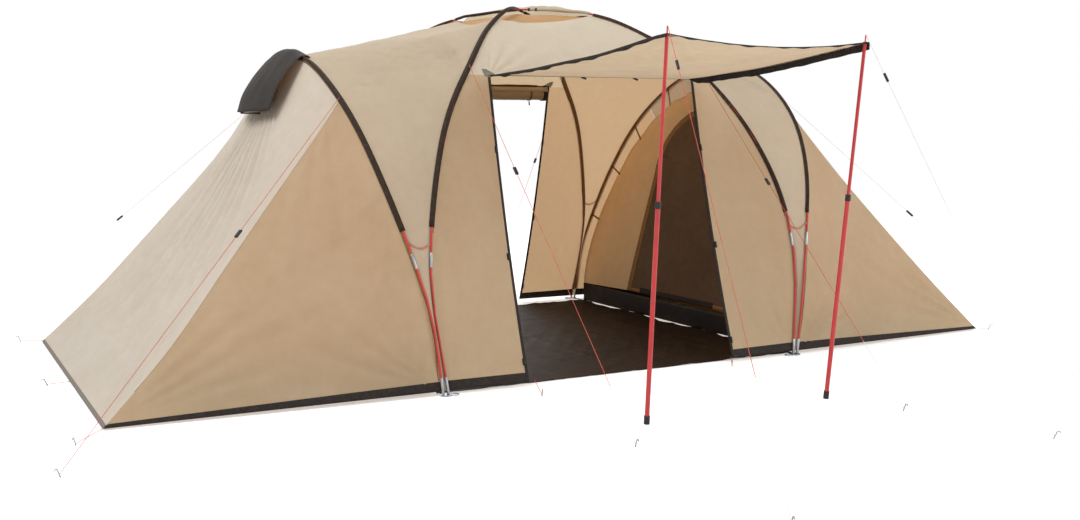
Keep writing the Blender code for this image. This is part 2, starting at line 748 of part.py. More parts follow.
def build_hoods():
    """The two vent hoods, and under each one's rim the short prop that holds it off the end wall."""
    rows = hood_rows()
    rim = rows[-1][2]
    height = rim.z - FABRIC / 2 - PROP_GAP - PROP_RADIUS
    outer = Vector((rim.x - 0.004, 0, height))
    inner = Vector((end_wall_x(height - PROP_RADIUS) - FABRIC - PROP_GAP, 0, height))
    for side in (LEFT, RIGHT):
        hood = sheet_object(
            "vent_hood_" + SIDE_NAMES[side], [quarter(row, side, FRONT) for row in rows], (0.05, 0.045, 0.045)
        )
        pivot_at(hood, mirrored(ARCH[STEPS], side, FRONT))
        end, start = quarter([outer, inner], side, FRONT)
        length = (end - start).length
        ball = [(PROP_RADIUS * math.sin(a), PROP_RADIUS * (1 - math.cos(a))) for a in (1.57, 1.05, 0.52)]
        profile = [(0, length), (PROP_RADIUS, length)] + ball + [(0, 0)]
        prop = turned("vent_prop_" + SIDE_NAMES[side], profile, start, end, (0.55, 0.5, 0.4), 0.0)
        pivot_at(prop, start + (end - start).normalized() * PROP_RADIUS)


def awning_pole_line(side):
    """An awning pole's foot and top, on the ground and under the canopy's corner."""
    foot = Vector((AWNING_CENTRE_X + side * AWNING_FOOT_HALF, AWNING_FOOT_Y, 0))
    top = Vector((AWNING_CENTRE_X + side * AWNING_TOP_HALF, AWNING_TOP_Y, AWNING_TOP_Z))
    return foot, top


def canopy_rows():
    """The rows of the front door, propped out, from its seam at the header to its front edge."""
    lengths, between_poles = 6, 8
    pole_share = AWNING_TOP_HALF / (AWNING_TOP_HALF + AWNING_HEM)
    places = [pole_share * (2 * k / between_poles - 1) for k in range(between_poles + 1)]
    slope = (AWNING_TOP_Z - HEADER_Z) / (AWNING_TOP_Y + HEADER_Y)
    rows = []
    for j in range(lengths + 2):
        share = min(1.0, j / lengths)
        y = -HEADER_Y - HINGE_GAP + share * (AWNING_TOP_Y + HEADER_Y + HINGE_GAP)
        if j > lengths:
            y -= AWNING_HEM
        half = AWNING_REAR_HALF + (AWNING_TOP_HALF + AWNING_HEM - AWNING_REAR_HALF) * share
        row = []
        for across in [-1.0] + places + [1.0]:
            between = max(0.0, 1 - (across / pole_share) ** 2)
            sag = AWNING_SAG * between * math.sin(math.pi * share * 0.5)
            sag += 0.018 * math.sin(math.pi * share) * (0.3 + 0.7 * across * across)
            z = HEADER_Z + slope * (y + HEADER_Y) - sag
            row.append(Vector((AWNING_CENTRE_X * share + across * half, y, z)))
        rows.append(row)
    return rows


def turned(name, profile, foot, top, colour, metallic, steps=14):
    """A turned piece: a profile of (radius, height) screwed about the line from foot to top."""
    data = bpy.data.meshes.new(name)
    data.from_pydata([(r, 0, z) for r, z in profile], [(k, k + 1) for k in range(len(profile) - 1)], [])
    thing = bpy.data.objects.new(name, data)
    bpy.context.scene.collection.objects.link(thing)
    turn = (top - foot).to_track_quat("Z", "Y").to_matrix().to_4x4()
    thing.matrix_world = Matrix.Translation(foot) @ turn
    spin = thing.modifiers.new("turning", "SCREW")
    spin.steps = steps
    spin.render_steps = steps
    spin.use_merge_vertices = True
    spin.merge_threshold = 0.00005
    return adopt(thing, name, colour, 0.3, metallic)


def build_awning():
    """The propped door with an eyelet at each front corner, and its two telescopic poles."""
    canopy = sheet_object("front_door_canopy", canopy_rows(), FABRIC_TAN)
    pivot_at(canopy, Vector((0, -HEADER_Y - HINGE_GAP, HEADER_Z)))
    for side in (LEFT, RIGHT):
        foot, top = awning_pole_line(side)
        length = (top - foot).length
        way = (top - foot).normalized()
        combine(canopy, rod("eyelet", top - way * 0.05, top + way * 0.05, EYELET_RADIUS), "DIFFERENCE")
        shoulder = length - FABRIC / 2 - 0.0010
        bottom = LOWER_POLE_LENGTH - POLE_INSERT
        red = (0.5, 0.03, 0.03)
        upper = turned(
            "awning_pole_upper_" + SIDE_NAMES[side],
            [
                (0, shoulder + SPIKE_LENGTH),
                (SPIKE_RADIUS, shoulder + SPIKE_LENGTH),
                (SPIKE_RADIUS, shoulder),
                (UPPER_POLE_RADIUS, shoulder - 0.004),
                (UPPER_POLE_RADIUS, bottom),
                (0, bottom),
            ],
            foot,
            top,
            red,
            0.3,
        )
        lower = turned(
            "awning_pole_lower_" + SIDE_NAMES[side],
            [
                (LOWER_POLE_BORE, LOWER_POLE_LENGTH),
                (LOWER_POLE_RADIUS, LOWER_POLE_LENGTH),
                (LOWER_POLE_RADIUS, POLE_CAP_HEIGHT),
                (POLE_CAP_RADIUS, POLE_CAP_HEIGHT),
                (POLE_CAP_RADIUS, 0.003),
                (0, 0.001),
                (0, POLE_CAP_HEIGHT),
                (LOWER_POLE_BORE, POLE_CAP_HEIGHT),
                (LOWER_POLE_BORE, LOWER_POLE_LENGTH),
            ],
            foot,
            top,
            red,
            0.3,
        )
        for pole in (upper, lower):
            pivot_at(pole, foot + way * POLE_CAP_RADIUS)


def build_rear_roll():
    """The rear door, rolled up under its header."""
    centre_z = HEADER_Z - FABRIC / 2 - ROLL_GAP - ROLL_RADIUS
    start = Vector((-DOOR_HALF_WIDTH + 0.012, HEADER_Y, centre_z))
    end = Vector((DOOR_HALF_WIDTH - 0.012, HEADER_Y, centre_z))
    adopt(rod("rear_door_roll", start, end, ROLL_RADIUS, 16), "rear_door_roll", FABRIC_TAN, 0.8)


def flat_outline(name, outline, colour):
    """A flat sheet on the ground from its outline: a filled curve, as thick as the sheet."""
    curve = bpy.data.curves.new(name, "CURVE")
    curve.dimensions = "2D"
    curve.fill_mode = "BOTH"
    curve.extrude = SHEET_THICKNESS / 2
    spline = curve.splines.new("POLY")
    spline.points.add(len(outline) - 1)
    for place, (x, y) in zip(spline.points, outline):
        place.co = (x, y, 0, 1)
    spline.use_cyclic_u = True
    sheet = bpy.data.objects.new(name, curve)
    sheet.location.z = SHEET_THICKNESS / 2
    bpy.context.scene.collection.objects.link(sheet)
    return adopt(sheet, name, colour, 0.9)


def build_groundsheet():
    """The living space's groundsheet, with a webbing tab from each corner to the foot's ring."""
    outline = []
    half_x = -INNER_BODY[0][0].x - FABRIC / 2 - SHEET_GAP
    for side, end in ((LEFT, FRONT), (RIGHT, FRONT), (RIGHT, REAR), (LEFT, REAR)):
        y = SHEET_FRONT_Y if end == FRONT else SHEET_REAR_Y
        ring_y = end * (FOOT_Y - POLE_FOOT_SPACING - SHEET_GAP)
        corner = [
            (side * (half_x - SHEET_CORNER), y),
            (side * (FOOT_X - TAB_HALF_WIDTH), y),
            (side * (FOOT_X - TAB_HALF_WIDTH), ring_y),
            (side * (FOOT_X + TAB_HALF_WIDTH), ring_y),
            (side * (FOOT_X + TAB_HALF_WIDTH), y - end * SHEET_CORNER),
            (side * half_x, y - end * SHEET_CORNER),
        ]
        outline += corner if side * end < 0 else corner[::-1]
    flat_outline("living_groundsheet", outline, (0.05, 0.035, 0.03))


def scaled_in(point):
    """A point of the left cabin's fly, brought in to the inner tent that hangs inside it."""
    centre = Vector((-FOOT_X - 0.02, 0, 0))
    return centre + (point - centre) * INNER_SCALE


def raised_to_rim(rows):
    """Rows cut off at the tub's rim: each column's first point is where it crosses the rim's height."""
    rows = [list(row) for row in rows]
    rim = TUB_RIM_Z + TUB_GAP
    for k in range(len(rows[0])):
        column = [row[k] for row in rows]
        above = next(j for j, point in enumerate(column) if point.z > rim)
        low, high = column[above - 1], column[above]
        first = low.lerp(high, (rim - low.z) / (high.z - low.z))
        for j in range(above + 1):
            rows[j][k] = first.lerp(column[above + 1], j / (above + 1))
    return rows


def inner_body_rows():
    """The rows of the left inner tent round its sides and end, from the tub's rim to the arch."""
    side_rows, end_rows = cabin_side_rows(), cabin_end_rows()
    rows = []
    for step in range(SEAM_STEP + 1):
        front = side_rows[step]
        rear = [mirrored(point, LEFT, REAR) for point in front][::-1]
        row = front[:-1] + end_rows[step] + rear[1:]
        rows.append([scaled_in(point) for point in row])
    return raised_to_rim(rows)


def inner_door_outline(gap):
    """Half of the inner door's outline as (y, z), from its bottom corner to its top."""
    shoulder_steps = 6
    half, shoulder = INNER_DOOR_HALF_WIDTH - gap, INNER_DOOR_SHOULDER_HALF - gap
    bottom, top = INNER_DOOR_BOTTOM_Z + gap, INNER_DOOR_TOP_Z - gap
    points = []
    for k in range(shoulder_steps + 1):
        share = k / shoulder_steps
        points.append((half + (shoulder - half) * share, bottom + (INNER_DOOR_SHOULDER_Z - bottom) * share))
    for k in range(1, STEPS - shoulder_steps + 1):
        angle = math.pi / 2 * k / (STEPS - shoulder_steps)
        rise = (top - INNER_DOOR_SHOULDER_Z) * math.sin(angle)
        points.append((shoulder * math.cos(angle), INNER_DOOR_SHOULDER_Z + rise))
    return points


def inner_front_x(z):
    """Where the left inner tent's front wall stands at a height: on the line from its foot to its apex."""
    foot, apex = scaled_in(ARCH_SEAM[0]), scaled_in(ARCH_SEAM[STEPS])
    return foot.x + (apex.x - foot.x) * (z - foot.z) / (apex.z - foot.z)


def inner_front_rows():
    """The rows of the left inner tent's front wall, from its edge at the arch to the doorway."""
    edge = [row[0] for row in INNER_BODY] + [scaled_in(point) for point in ARCH_SEAM[SEAM_STEP + 1 :]]
    door = [Vector((inner_front_x(z), -y, z)) for y, z in inner_door_outline(0.0)]
    rows = []
    for share in (0.0, 0.5, 1.0):
        row = [a.lerp(b, share) for a, b in zip(edge, door)]
        rows.append(row + [mirrored(point, LEFT, REAR) for point in row[:-1]][::-1])
    return rows


def build_inner_tents():
    """In each cabin an inner tent: a tub floor, the hung walls round it and a door in its front."""
    front = inner_front_rows()
    for side in (LEFT, RIGHT):
        name = "inner_" + SIDE_NAMES[side]
        walls = [quarter(row, side, FRONT) for row in INNER_BODY]
        face = [quarter(row, side, FRONT) for row in front]
        mesh = bmesh.new()
        for rows in (walls, face):
            grid = [[mesh.verts.new(point) for point in row] for row in rows]
            for j in range(len(rows) - 1):
                for k in range(len(rows[0]) - 1):
                    mesh.faces.new((grid[j][k], grid[j][k + 1], grid[j + 1][k + 1], grid[j + 1][k]))
        bmesh.ops.remove_doubles(mesh, verts=mesh.verts, dist=0.0005)
        bmesh.ops.recalc_face_normals(mesh, faces=mesh.faces)
        data = bpy.data.meshes.new(name)
        mesh.to_mesh(data)
        mesh.free()
        tent = bpy.data.objects.new(name, data)
        bpy.context.scene.collection.objects.link(tent)
        wall = tent.modifiers.new("cloth", "SOLIDIFY")
        wall.thickness = FABRIC
        wall.offset = 0.0
        adopt(tent, name + "_tent", (0.42, 0.30, 0.18))
        rim = [Vector((p.x, p.y, TUB_RIM_Z)) for p in walls[0]]
        base = [Vector((p.x, p.y, FABRIC / 2)) for p in walls[0]]
        middle = sum(base, Vector()) / len(base)
        inner = [middle.lerp(p, 0.5) for p in base]
        centre = [middle.copy() for _ in base]
        sheet_object(
            name + "_floor", [rim, base, inner, centre], (0.045, 0.035, 0.03), closed=True
        )
        outline = [Vector((inner_front_x(z), -y, z)) for y, z in inner_door_outline(INNER_DOOR_GAP)]
        leaf = []
        for p in outline:
            leaf.append([mirrored(p, side, FRONT), Vector((-side * p.x, 0, p.z)), mirrored(p, side, REAR)])
        leaf[-1] = [leaf[-1][1].copy() for _ in range(3)]
        door = sheet_object(name + "_door", leaf, (0.04, 0.03, 0.022))
        pivot_at(door, mirrored(outline[0], side, REAR))


def rope_object(name, start, peg):
    """A taut guy rope from its anchor to its peg, and the unit direction it runs in."""
    way = (peg - start).normalized()
    points = straight(start + way * ROPE_END_GAP, peg, 4)
    adopt(tube_mesh(name, points, ROPE_RADIUS), name, (0.6, 0.12, 0.1), 0.7)
    return way


def runner_object(name, start, peg, share):
    """A runner on a rope: a small block with the rope through it."""
    way = (peg - start).normalized()
    centre = start.lerp(peg, share)
    bpy.ops.mesh.primitive_cube_add(size=1)
    block = bpy.context.object
    block.data.transform(Matrix.Diagonal((RUNNER_WIDTH, RUNNER_DEPTH, RUNNER_LENGTH, 1)))
    block.matrix_world = Matrix.Translation(centre) @ way.to_track_quat("Z", "Y").to_matrix().to_4x4()
    adopt(block, name, (0.03, 0.03, 0.03), 0.5)
    edges = block.modifiers.new("edges", "BEVEL")
    edges.width = 0.002
    edges.segments = 1
    half = way * RUNNER_LENGTH
    combine(block, rod(name + "_bore", centre - half, centre + half, RUNNER_BORE, 10), "DIFFERENCE")


def build_ropes():
    """Guy ropes from the poles and the awning to the ground, with the runners of the eight on the poles."""
    lift = POLE_RADIUS + SLEEVE_CLEARANCE + SLEEVE_WALL + ROPE_RADIUS + ROPE_END_GAP
    for half, ways, step, pegs, kind in (
        (DIAGONAL, DIAGONAL_WAYS, DIAGONAL_ROPE_STEP, DIAGONAL_PEGS, "diagonal"),
        (ARCH, ARCH_WAYS, ARCH_ROPE_STEP, ARCH_PEGS, "arch"),
    ):
        for (side, end), (peg_x, peg_y, share) in pegs.items():
            outward_way = mirrored(along(ways, step), side, end)
            start = mirrored(along(half, step), side, end) + outward_way * lift
            peg = Vector((peg_x, peg_y, ROPE_PEG_Z))
            label = f"{kind}_{END_NAMES[end]}_{SIDE_NAMES[side]}"
            rope_object("guy_rope_" + label, start, peg)
            runner_object("runner_" + label, start, peg, share)
    for side in (LEFT, RIGHT):
        foot, top = awning_pole_line(side)
        way = (top - foot).normalized()
        start = top + way * (SPIKE_LENGTH - 0.006) + Vector((0, -SPIKE_RADIUS - ROPE_RADIUS, 0))
        rope_object("guy_rope_awning_" + SIDE_NAMES[side], start, Vector((*AWNING_PEGS[side], ROPE_PEG_Z)))


COLLECTIONS = clear_scene()
DIAGONAL = diagonal_half()
ARCH = arch_half()
INSIDE = Vector((0, 0, 0.4))
CABIN_INSIDE = Vector((-FOOT_X, 0, 0.4))
MIRROR_DIAGONAL = quarter(DIAGONAL, RIGHT, FRONT)
DOOR_SIDE = [Vector((-DOOR_HALF_WIDTH, wall_y(p.z), p.z)) for p in DIAGONAL[: HEADER_STEP + 1]]
DIAGONAL_SEAM, DIAGONAL_WAYS = seam_line(
    DIAGONAL, DOOR_SIDE + MIRROR_DIAGONAL[HEADER_STEP + 1 : -1] + [Vector((0, -1, CROWN_Z))], ARCH, INSIDE
)
CABIN_GUIDE = [Vector((-END_X, -END_Y, 0)).lerp(ARCH[SEAM_STEP], 0.9 * k / STEPS) for k in range(STEPS + 1)]
ARCH_SEAM, ARCH_WAYS = seam_line(ARCH, CABIN_GUIDE, DIAGONAL, CABIN_INSIDE)
SEAM = cabin_seam()
INNER_BODY = inner_body_rows()

build_poles()
build_feet()
build_sleeves()
build_door_panels()
build_side_roofs()
build_cabins()
build_vent_cover()
build_hoods()
build_awning()
build_rear_roll()
build_groundsheet()
build_inner_tents()
build_ropes()
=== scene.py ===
"""Looks of a family dome tent: two bedrooms, a living room, and a door raised as an awning."""
import logging
import math
from abc import ABC, abstractmethod
from collections.abc import Callable
from dataclasses import dataclass
from enum import Enum

import bmesh
import bpy
import numpy as np
from mathutils import Matrix, Vector
from mathutils.bvhtree import BVHTree
from mathutils.kdtree import KDTree


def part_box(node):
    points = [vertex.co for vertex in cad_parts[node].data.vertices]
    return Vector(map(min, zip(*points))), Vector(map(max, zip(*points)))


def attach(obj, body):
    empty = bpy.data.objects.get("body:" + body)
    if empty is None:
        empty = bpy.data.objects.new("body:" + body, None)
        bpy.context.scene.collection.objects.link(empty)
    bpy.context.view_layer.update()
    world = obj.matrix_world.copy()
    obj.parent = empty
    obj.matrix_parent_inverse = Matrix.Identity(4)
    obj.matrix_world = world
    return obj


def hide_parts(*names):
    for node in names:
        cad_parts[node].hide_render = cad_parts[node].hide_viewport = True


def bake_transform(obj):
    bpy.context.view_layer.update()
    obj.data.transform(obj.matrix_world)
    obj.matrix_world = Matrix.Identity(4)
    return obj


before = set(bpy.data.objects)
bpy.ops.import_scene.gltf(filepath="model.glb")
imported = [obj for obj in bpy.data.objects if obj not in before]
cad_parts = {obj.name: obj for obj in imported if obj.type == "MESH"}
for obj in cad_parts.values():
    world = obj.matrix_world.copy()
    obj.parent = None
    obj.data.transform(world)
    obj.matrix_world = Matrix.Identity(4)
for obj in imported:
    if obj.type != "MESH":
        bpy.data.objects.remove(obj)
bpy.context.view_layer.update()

LOG = logging.getLogger("tent")
Point = tuple[float, float, float]
Piece = bpy.types.Object
Tree = bpy.types.NodeTree
MM = 0.001
TURN = 2 * math.pi

# The outer tent's main places: a doorway's upper corner, and a bedroom's outer corner on the ground.
DOOR_HALF, HEADER_Y, HEADER_Z = 0.6, 0.80, 1.475
END_X, END_Y = 2.506, 1.112


class Way(Enum):
    """A side or end of the tent, with the sign of its coordinate."""

    @property
    def word(self) -> str:
        """The name in lower case."""
        return self.name.lower()


class Side(Way):
    """The two bedrooms' sides."""

    LEFT = -1
    RIGHT = 1


class End(Way):
    """The two doors' ends."""

    FRONT = -1
    REAR = 1


class Slot(Enum):
    """The record's material slots, passed along with new pieces."""

    SLEEVE = "sleeve"
    WALL = "wall"
    ROOF = "roof"
    VENT = "vent"
    INNER = "inner_fabric"
    NET = "inner_mesh"
    FLOOR = "floor"
    PIN = "pin"
    ROPE = "rope"
    PLASTIC = "plastic"


# Materials


def linear(code: str) -> tuple[float, float, float, float]:
    """Turns an sRGB hex value to linear light.

    Args:
        code: six hex digits after a #.

    Returns:
        The colour as linear red, green, blue and alpha.
    """
    parts = [int(code[k : k + 2], 16) / 255 for k in (1, 3, 5)]
    return (*[c / 12.92 if c <= 0.04045 else ((c + 0.055) / 1.055) ** 2.4 for c in parts], 1.0)


def add_node(tree: Tree, kind: str, links: dict | None = None, **settings: str) -> bpy.types.Node:
    """Adds a shader node with its settings and links.

    Args:
        tree: the material's node tree.
        kind: the node's type after ShaderNode.
        links: input name or number to its value, or to the socket or node that it gets its value from.
        settings: the node's own properties.

    Returns:
        The new node.
    """
    node = tree.nodes.new("ShaderNode" + kind)
    for key, value in settings.items():
        setattr(node, key, value)
    for key, value in (links or {}).items():
        if isinstance(value, bpy.types.Node):
            value = value.outputs["Fac"] if "Fac" in value.outputs else value.outputs[0]
        if isinstance(value, bpy.types.NodeSocket):
            tree.links.new(value, node.inputs[key])
        else:
            node.inputs[key].default_value = value
    return node


def blank_material(name: str) -> tuple[bpy.types.Material, Tree]:
    """Makes a material with an empty node tree.

    Args:
        name: the material's name.

    Returns:
        The material and its tree.
    """
    material = bpy.data.materials.new(name)
    material.use_nodes = True
    material.node_tree.nodes.clear()
    return material, material.node_tree


@dataclass(frozen=True)
class Look(ABC):
    """A finish that varies between two colours over its surface."""

    name: str
    colour: str
    other: str

    def build(self) -> bpy.types.Material:
        """Builds the material.

        Returns:
            The material, on Object coordinates.
        """
        material, tree = blank_material(self.name)
        surface = self.surface(tree, add_node(tree, "TexCoord").outputs["Object"])
        add_node(tree, "OutputMaterial", {"Surface": surface})
        return material

    @abstractmethod
    def surface(self, tree: Tree, place: bpy.types.NodeSocket) -> bpy.types.Node:
        """Builds the shader of one kind of finish."""

    def varied(self, tree: Tree, pattern: bpy.types.Node, low: float, high: float) -> bpy.types.NodeSocket:
        """Mixes the two colours by a pattern.

        Args:
            tree: the material's node tree.
            pattern: the node that gives the pattern.
            low: where the pattern is all the first colour.
            high: where it is all the other one.

        Returns:
            The mixed colour.
        """
        share = add_node(tree, "MapRange", {"Value": pattern, "From Min": low, "From Max": high})
        ends = {"Factor": share, "A": linear(self.colour), "B": linear(self.other)}
        return add_node(tree, "Mix", ends, data_type="RGBA").outputs["Result"]


@dataclass(frozen=True)
class WovenCloth(Look):
    """Coated polyester, woven in fine threads and pulled taut: matt, a little uneven, and lit through."""

    through: float = 0.3
    glow: str = ""
    roughness: float = 0.78
    specular: float = 0.3
    thread_mm: float = 1.6
    crinkle_mm: float = 1.2
    crinkle_size_mm: float = 45.0

    def surface(self, tree: Tree, place: bpy.types.NodeSocket) -> bpy.types.Node:
        """Builds the cloth's shader.

        Args:
            tree: the material's node tree.
            place: the Object coordinates.

        Returns:
            The shader's last node.
        """
        # A dyed cloth varies a little over a hand's breadth, and more where it has been creased.
        clouds = add_node(tree, "TexNoise", {"Vector": place, "Scale": 3.1, "Detail": 3.0, "Roughness": 0.55})
        streak = add_node(tree, "TexNoise", {"Vector": place, "Scale": 21.0, "Detail": 5.0, "Roughness": 0.6})
        both = add_node(tree, "Math", {0: clouds, 1: streak}, operation="ADD")
        colour = self.varied(tree, both, 0.75, 1.25)
        # Threads are about 0.25 mm apart, drawn wider so that they show from a step away.
        waves = {"Vector": place, "Scale": TURN / (20 * self.thread_mm * MM)}
        threads = [add_node(tree, "TexWave", waves, bands_direction=axis) for axis in "XZ"]
        weave = add_node(tree, "Math", dict(enumerate(threads)), operation="ADD")
        size = 1 / (self.crinkle_size_mm * MM)
        crinkles = add_node(tree, "TexNoise", {"Vector": place, "Scale": size, "Detail": 4.0, "Distortion": 0.6})
        fine = add_node(tree, "Bump", {"Height": weave, "Strength": 0.25, "Distance": 0.05 * MM})
        depth = {"Strength": 0.6, "Distance": self.crinkle_mm * MM}
        bump = add_node(tree, "Bump", {"Height": crinkles, "Normal": fine, **depth})
        sheen = {"Roughness": self.roughness, "Specular IOR Level": self.specular}
        cloth = add_node(tree, "BsdfPrincipled", {"Base Color": colour, "Normal": bump, **sheen})
        if not self.through:
            return cloth
        # The dye tints the light that comes through more than the light that is thrown back.
        tint = linear(self.glow) if self.glow else colour
        glow = add_node(tree, "BsdfTranslucent", {"Color": tint, "Normal": bump})
        return add_node(tree, "MixShader", {0: self.through, 1: cloth, 2: glow})


@dataclass(frozen=True)
class Webbing(Look):
    """Woven polyester tape or sleeve cloth: coarse ribs across it, dull, with paler rubbed threads."""

    rib_mm: float = 2.4
    roughness: float = 0.86

    def surface(self, tree: Tree, place: bpy.types.NodeSocket) -> bpy.types.Node:
        """Builds the tape's shader.

        Args:
            tree: the material's node tree.
            place: the Object coordinates.

        Returns:
            The shader's last node.
        """
        rubbed = add_node(tree, "TexNoise", {"Vector": place, "Scale": 60.0, "Detail": 4.0})
        colour = self.varied(tree, rubbed, 0.45, 0.8)
        # Ribs are about 1 mm apart, drawn wider so that they show.
        waves = {"Vector": place, "Scale": TURN / (20 * self.rib_mm * MM), "Distortion": 1.0}
        ribs = add_node(tree, "TexWave", waves, bands_direction="DIAGONAL")
        bump = add_node(tree, "Bump", {"Height": ribs, "Strength": 0.5, "Distance": 0.25 * MM})
        sheen = {"Roughness": self.roughness, "Specular IOR Level": 0.3}
        return add_node(tree, "BsdfPrincipled", {"Base Color": colour, "Normal": bump, **sheen})


@dataclass(frozen=True)
class HardFinish(Look):
    """A hard smooth finish: painted, drawn or moulded, with fine grain and slight soiling."""

    roughness: float = 0.4
    metallic: float = 0.0
    coat: float = 0.0
    grain_mm: float = 1.5
    depth_mm: float = 0.05

    def surface(self, tree: Tree, place: bpy.types.NodeSocket) -> bpy.types.Node:
        """Builds the finish's shader.

        Args:
            tree: the material's node tree.
            place: the Object coordinates.

        Returns:
            The shader's last node.
        """
        dirt = add_node(tree, "TexNoise", {"Vector": place, "Scale": 17.0, "Detail": 6.0, "Roughness": 0.65})
        colour = self.varied(tree, dirt, 0.42, 0.72)
        grain = add_node(tree, "TexNoise", {"Vector": place, "Scale": 1 / (self.grain_mm * MM), "Detail": 2.0})
        limits = {"To Min": self.roughness - 0.06, "To Max": self.roughness + 0.08}
        rough = add_node(tree, "MapRange", {"Value": grain, **limits})
        bump = add_node(tree, "Bump", {"Height": grain, "Strength": 0.3, "Distance": self.depth_mm * MM})
        sheen = {"Metallic": self.metallic, "Roughness": rough, "Coat Weight": self.coat}
        return add_node(tree, "BsdfPrincipled", {"Base Color": colour, "Normal": bump, **sheen})


class Finish(Enum):
    """Every finish on the tent."""

    # Sand coloured polyester taffeta with a coating: matt, and it glows warmly where the light is behind it.
    WALL_CLOTH = WovenCloth("sand_polyester", "#D1B997", "#DAC3A2", through=0.45, glow="#D1AE88")
    # The same taffeta on the roof: paler, where the light falls on it from above.
    ROOF_CLOTH = WovenCloth("sand_polyester_roof", "#D7C9B0", "#DFD2BA", through=0.45, glow="#D5B48D")
    # The same taffeta on the end walls, painted paler and greyer as painted light for the light that falls on them;
    # more closed, so that its long folds read as soft shade.
    END_CLOTH = WovenCloth("sand_polyester_end", "#CCC2B2", "#D4CBBD", through=0.25, glow="#D0B290")
    # The same cloth in dark grey brown, which lets no light through.
    HOOD_CLOTH = WovenCloth("dark_polyester", "#2D2825", "#37312E", through=0.0)
    # Pale taffeta of the crown's cover: almost white with the sky behind it.
    COVER_CLOTH = WovenCloth("pale_polyester", "#D5C8B0", "#DDD2BD", through=0.45)
    # The same taffeta on the roof over the doors, painted palest, in cream, as painted light from above; faintly warm
    # where the light comes through.
    CROWN_CLOTH = WovenCloth("pale_polyester_roof", "#E1D6C1", "#E9E0CD", through=0.4, glow="#E0C8A2")
    # Net across the crown vent, under the poles: an even warm brown that is painted shade, the shade under the cover.
    VENT_NET = WovenCloth("vent_net", "#B48751", "#C0925A", through=0.2, thread_mm=2.0)
    # The same taffeta on the awning, painted browner than the walls as painted shade on its underside, seen from below
    # against the light.
    CANOPY_CLOTH = WovenCloth("sand_polyester_awning", "#BEA88D", "#C6B196", through=0.5)
    # Thin breathable polyester of the inner tents: warm, light and softly crumpled.
    INNER_CLOTH = WovenCloth("inner_polyester", "#F8DDB4", "#FFE8C2", through=0.5, crinkle_mm=2.0)
    # Fine knitted net over dark cloth, so close that it reads as dark brown.
    NET_CLOTH = WovenCloth("inner_net", "#5A4735", "#67523E", through=0.1, thread_mm=2.2)
    # Woven tape polyethylene with a thin film: dark, with a low wet sheen and hard creases.
    FLOOR_CLOTH = WovenCloth(
        "woven_groundsheet", "#241A13", "#2C2119", through=0.0, roughness=0.6, specular=0.12, thread_mm=3.0,
        crinkle_mm=3.5, crinkle_size_mm=70.0,
    )
    # The same woven tape in the tub floors: a little glossier on their upright rims.
    TUB_CLOTH = WovenCloth(
        "woven_tub", "#1F1A17", "#29221E", through=0.0, roughness=0.5, specular=0.2, thread_mm=3.0, crinkle_mm=3.0
    )
    # Ribbed polyester webbing: dull dark brown sleeves with rubbed paler ribs.
    SLEEVE_TAPE = Webbing("sleeve_webbing", "#2F231B", "#443629")
    # Woven polyester hem tape: nearly black, and flat beside the sand.
    HEM_TAPE = Webbing("hem_tape", "#2A2421", "#3A332E")
    # Finer tape over the seams: a thin brown line between two panels.
    BROWN_TAPE = Webbing("brown_seam_tape", "#86653F", "#93724C", rib_mm=1.8)
    # Grey reinforcement sewn where the cloth is pulled: flat and colourless beside the sand.
    GREY_TAPE = Webbing("grey_reinforcement", "#776F66", "#857D74")
    # Red strap that the sun has bleached: a dusty pink line between the sleeves.
    FADED_TAPE = Webbing("faded_red_strap", "#B57C68", "#C08E7A", rib_mm=1.5)
    # Drawn fibreglass rod, painted red: satin, with long streaks.
    RED_FIBREGLASS = HardFinish("red_fibreglass", "#C4392F", "#B03A30", roughness=0.38, grain_mm=0.8)
    # Red powder coat on steel tube: smooth, with a fine orange peel.
    RED_POWDER = HardFinish("red_powder_coat", "#C22A2C", "#AF2427", roughness=0.32, coat=0.3)
    # Zinc plated steel: a bright grey with a soft, slightly milky gleam.
    BARE_STEEL = HardFinish(
        "zinc_plated_steel", "#B9BCC0", "#9EA1A5", roughness=0.34, metallic=1.0, grain_mm=0.6, depth_mm=0.02
    )
    # Moulded black plastic: dark, with a small broad highlight.
    BLACK_PLASTIC = HardFinish("moulded_black_plastic", "#17181A", "#222325", roughness=0.45, grain_mm=0.7)
    # Dark plated steel of the eyelets: a ring that gleams only at its edge.
    DARK_METAL = HardFinish("dark_plated_steel", "#4A4B4E", "#3B3C3F", roughness=0.4, metallic=0.9)
    # Thin braided polyester line, red near the tent: a fine soft red stroke.
    ROPE_RED = Webbing("red_guy_line", "#C4564A", "#CC7A6C", rib_mm=1.2)
    # The same line further from the tent: nearly white against the ground.
    ROPE_PALE = Webbing("pale_guy_line", "#E4DEDA", "#D2C6BF", rib_mm=1.2)

    def material(self) -> bpy.types.Material:
        """The finish's material, built at its first use."""
        return bpy.data.materials.get(self.value.name) or self.value.build()


# Making pieces


def add_object(name: str, data: bpy.types.ID) -> Piece:
    """Adds an object to the scene.

    Args:
        name: its name.
        data: its mesh, light or camera.

    Returns:
        The new object.
    """
    thing = bpy.data.objects.new(name, data)
    bpy.context.scene.collection.objects.link(thing)
    return thing


def only(thing: Piece) -> None:
    """Deselects everything, then selects one object and makes it active.

    Args:
        thing: the object that the next operators act on.
    """
    bpy.ops.object.select_all(action="DESELECT")
    thing.select_set(True)
    bpy.context.view_layer.objects.active = thing


def dress(thing: Piece, finish: Finish) -> None:
    """Gives a piece one finish."""
    thing.data.materials.clear()
    thing.data.materials.append(finish.material())


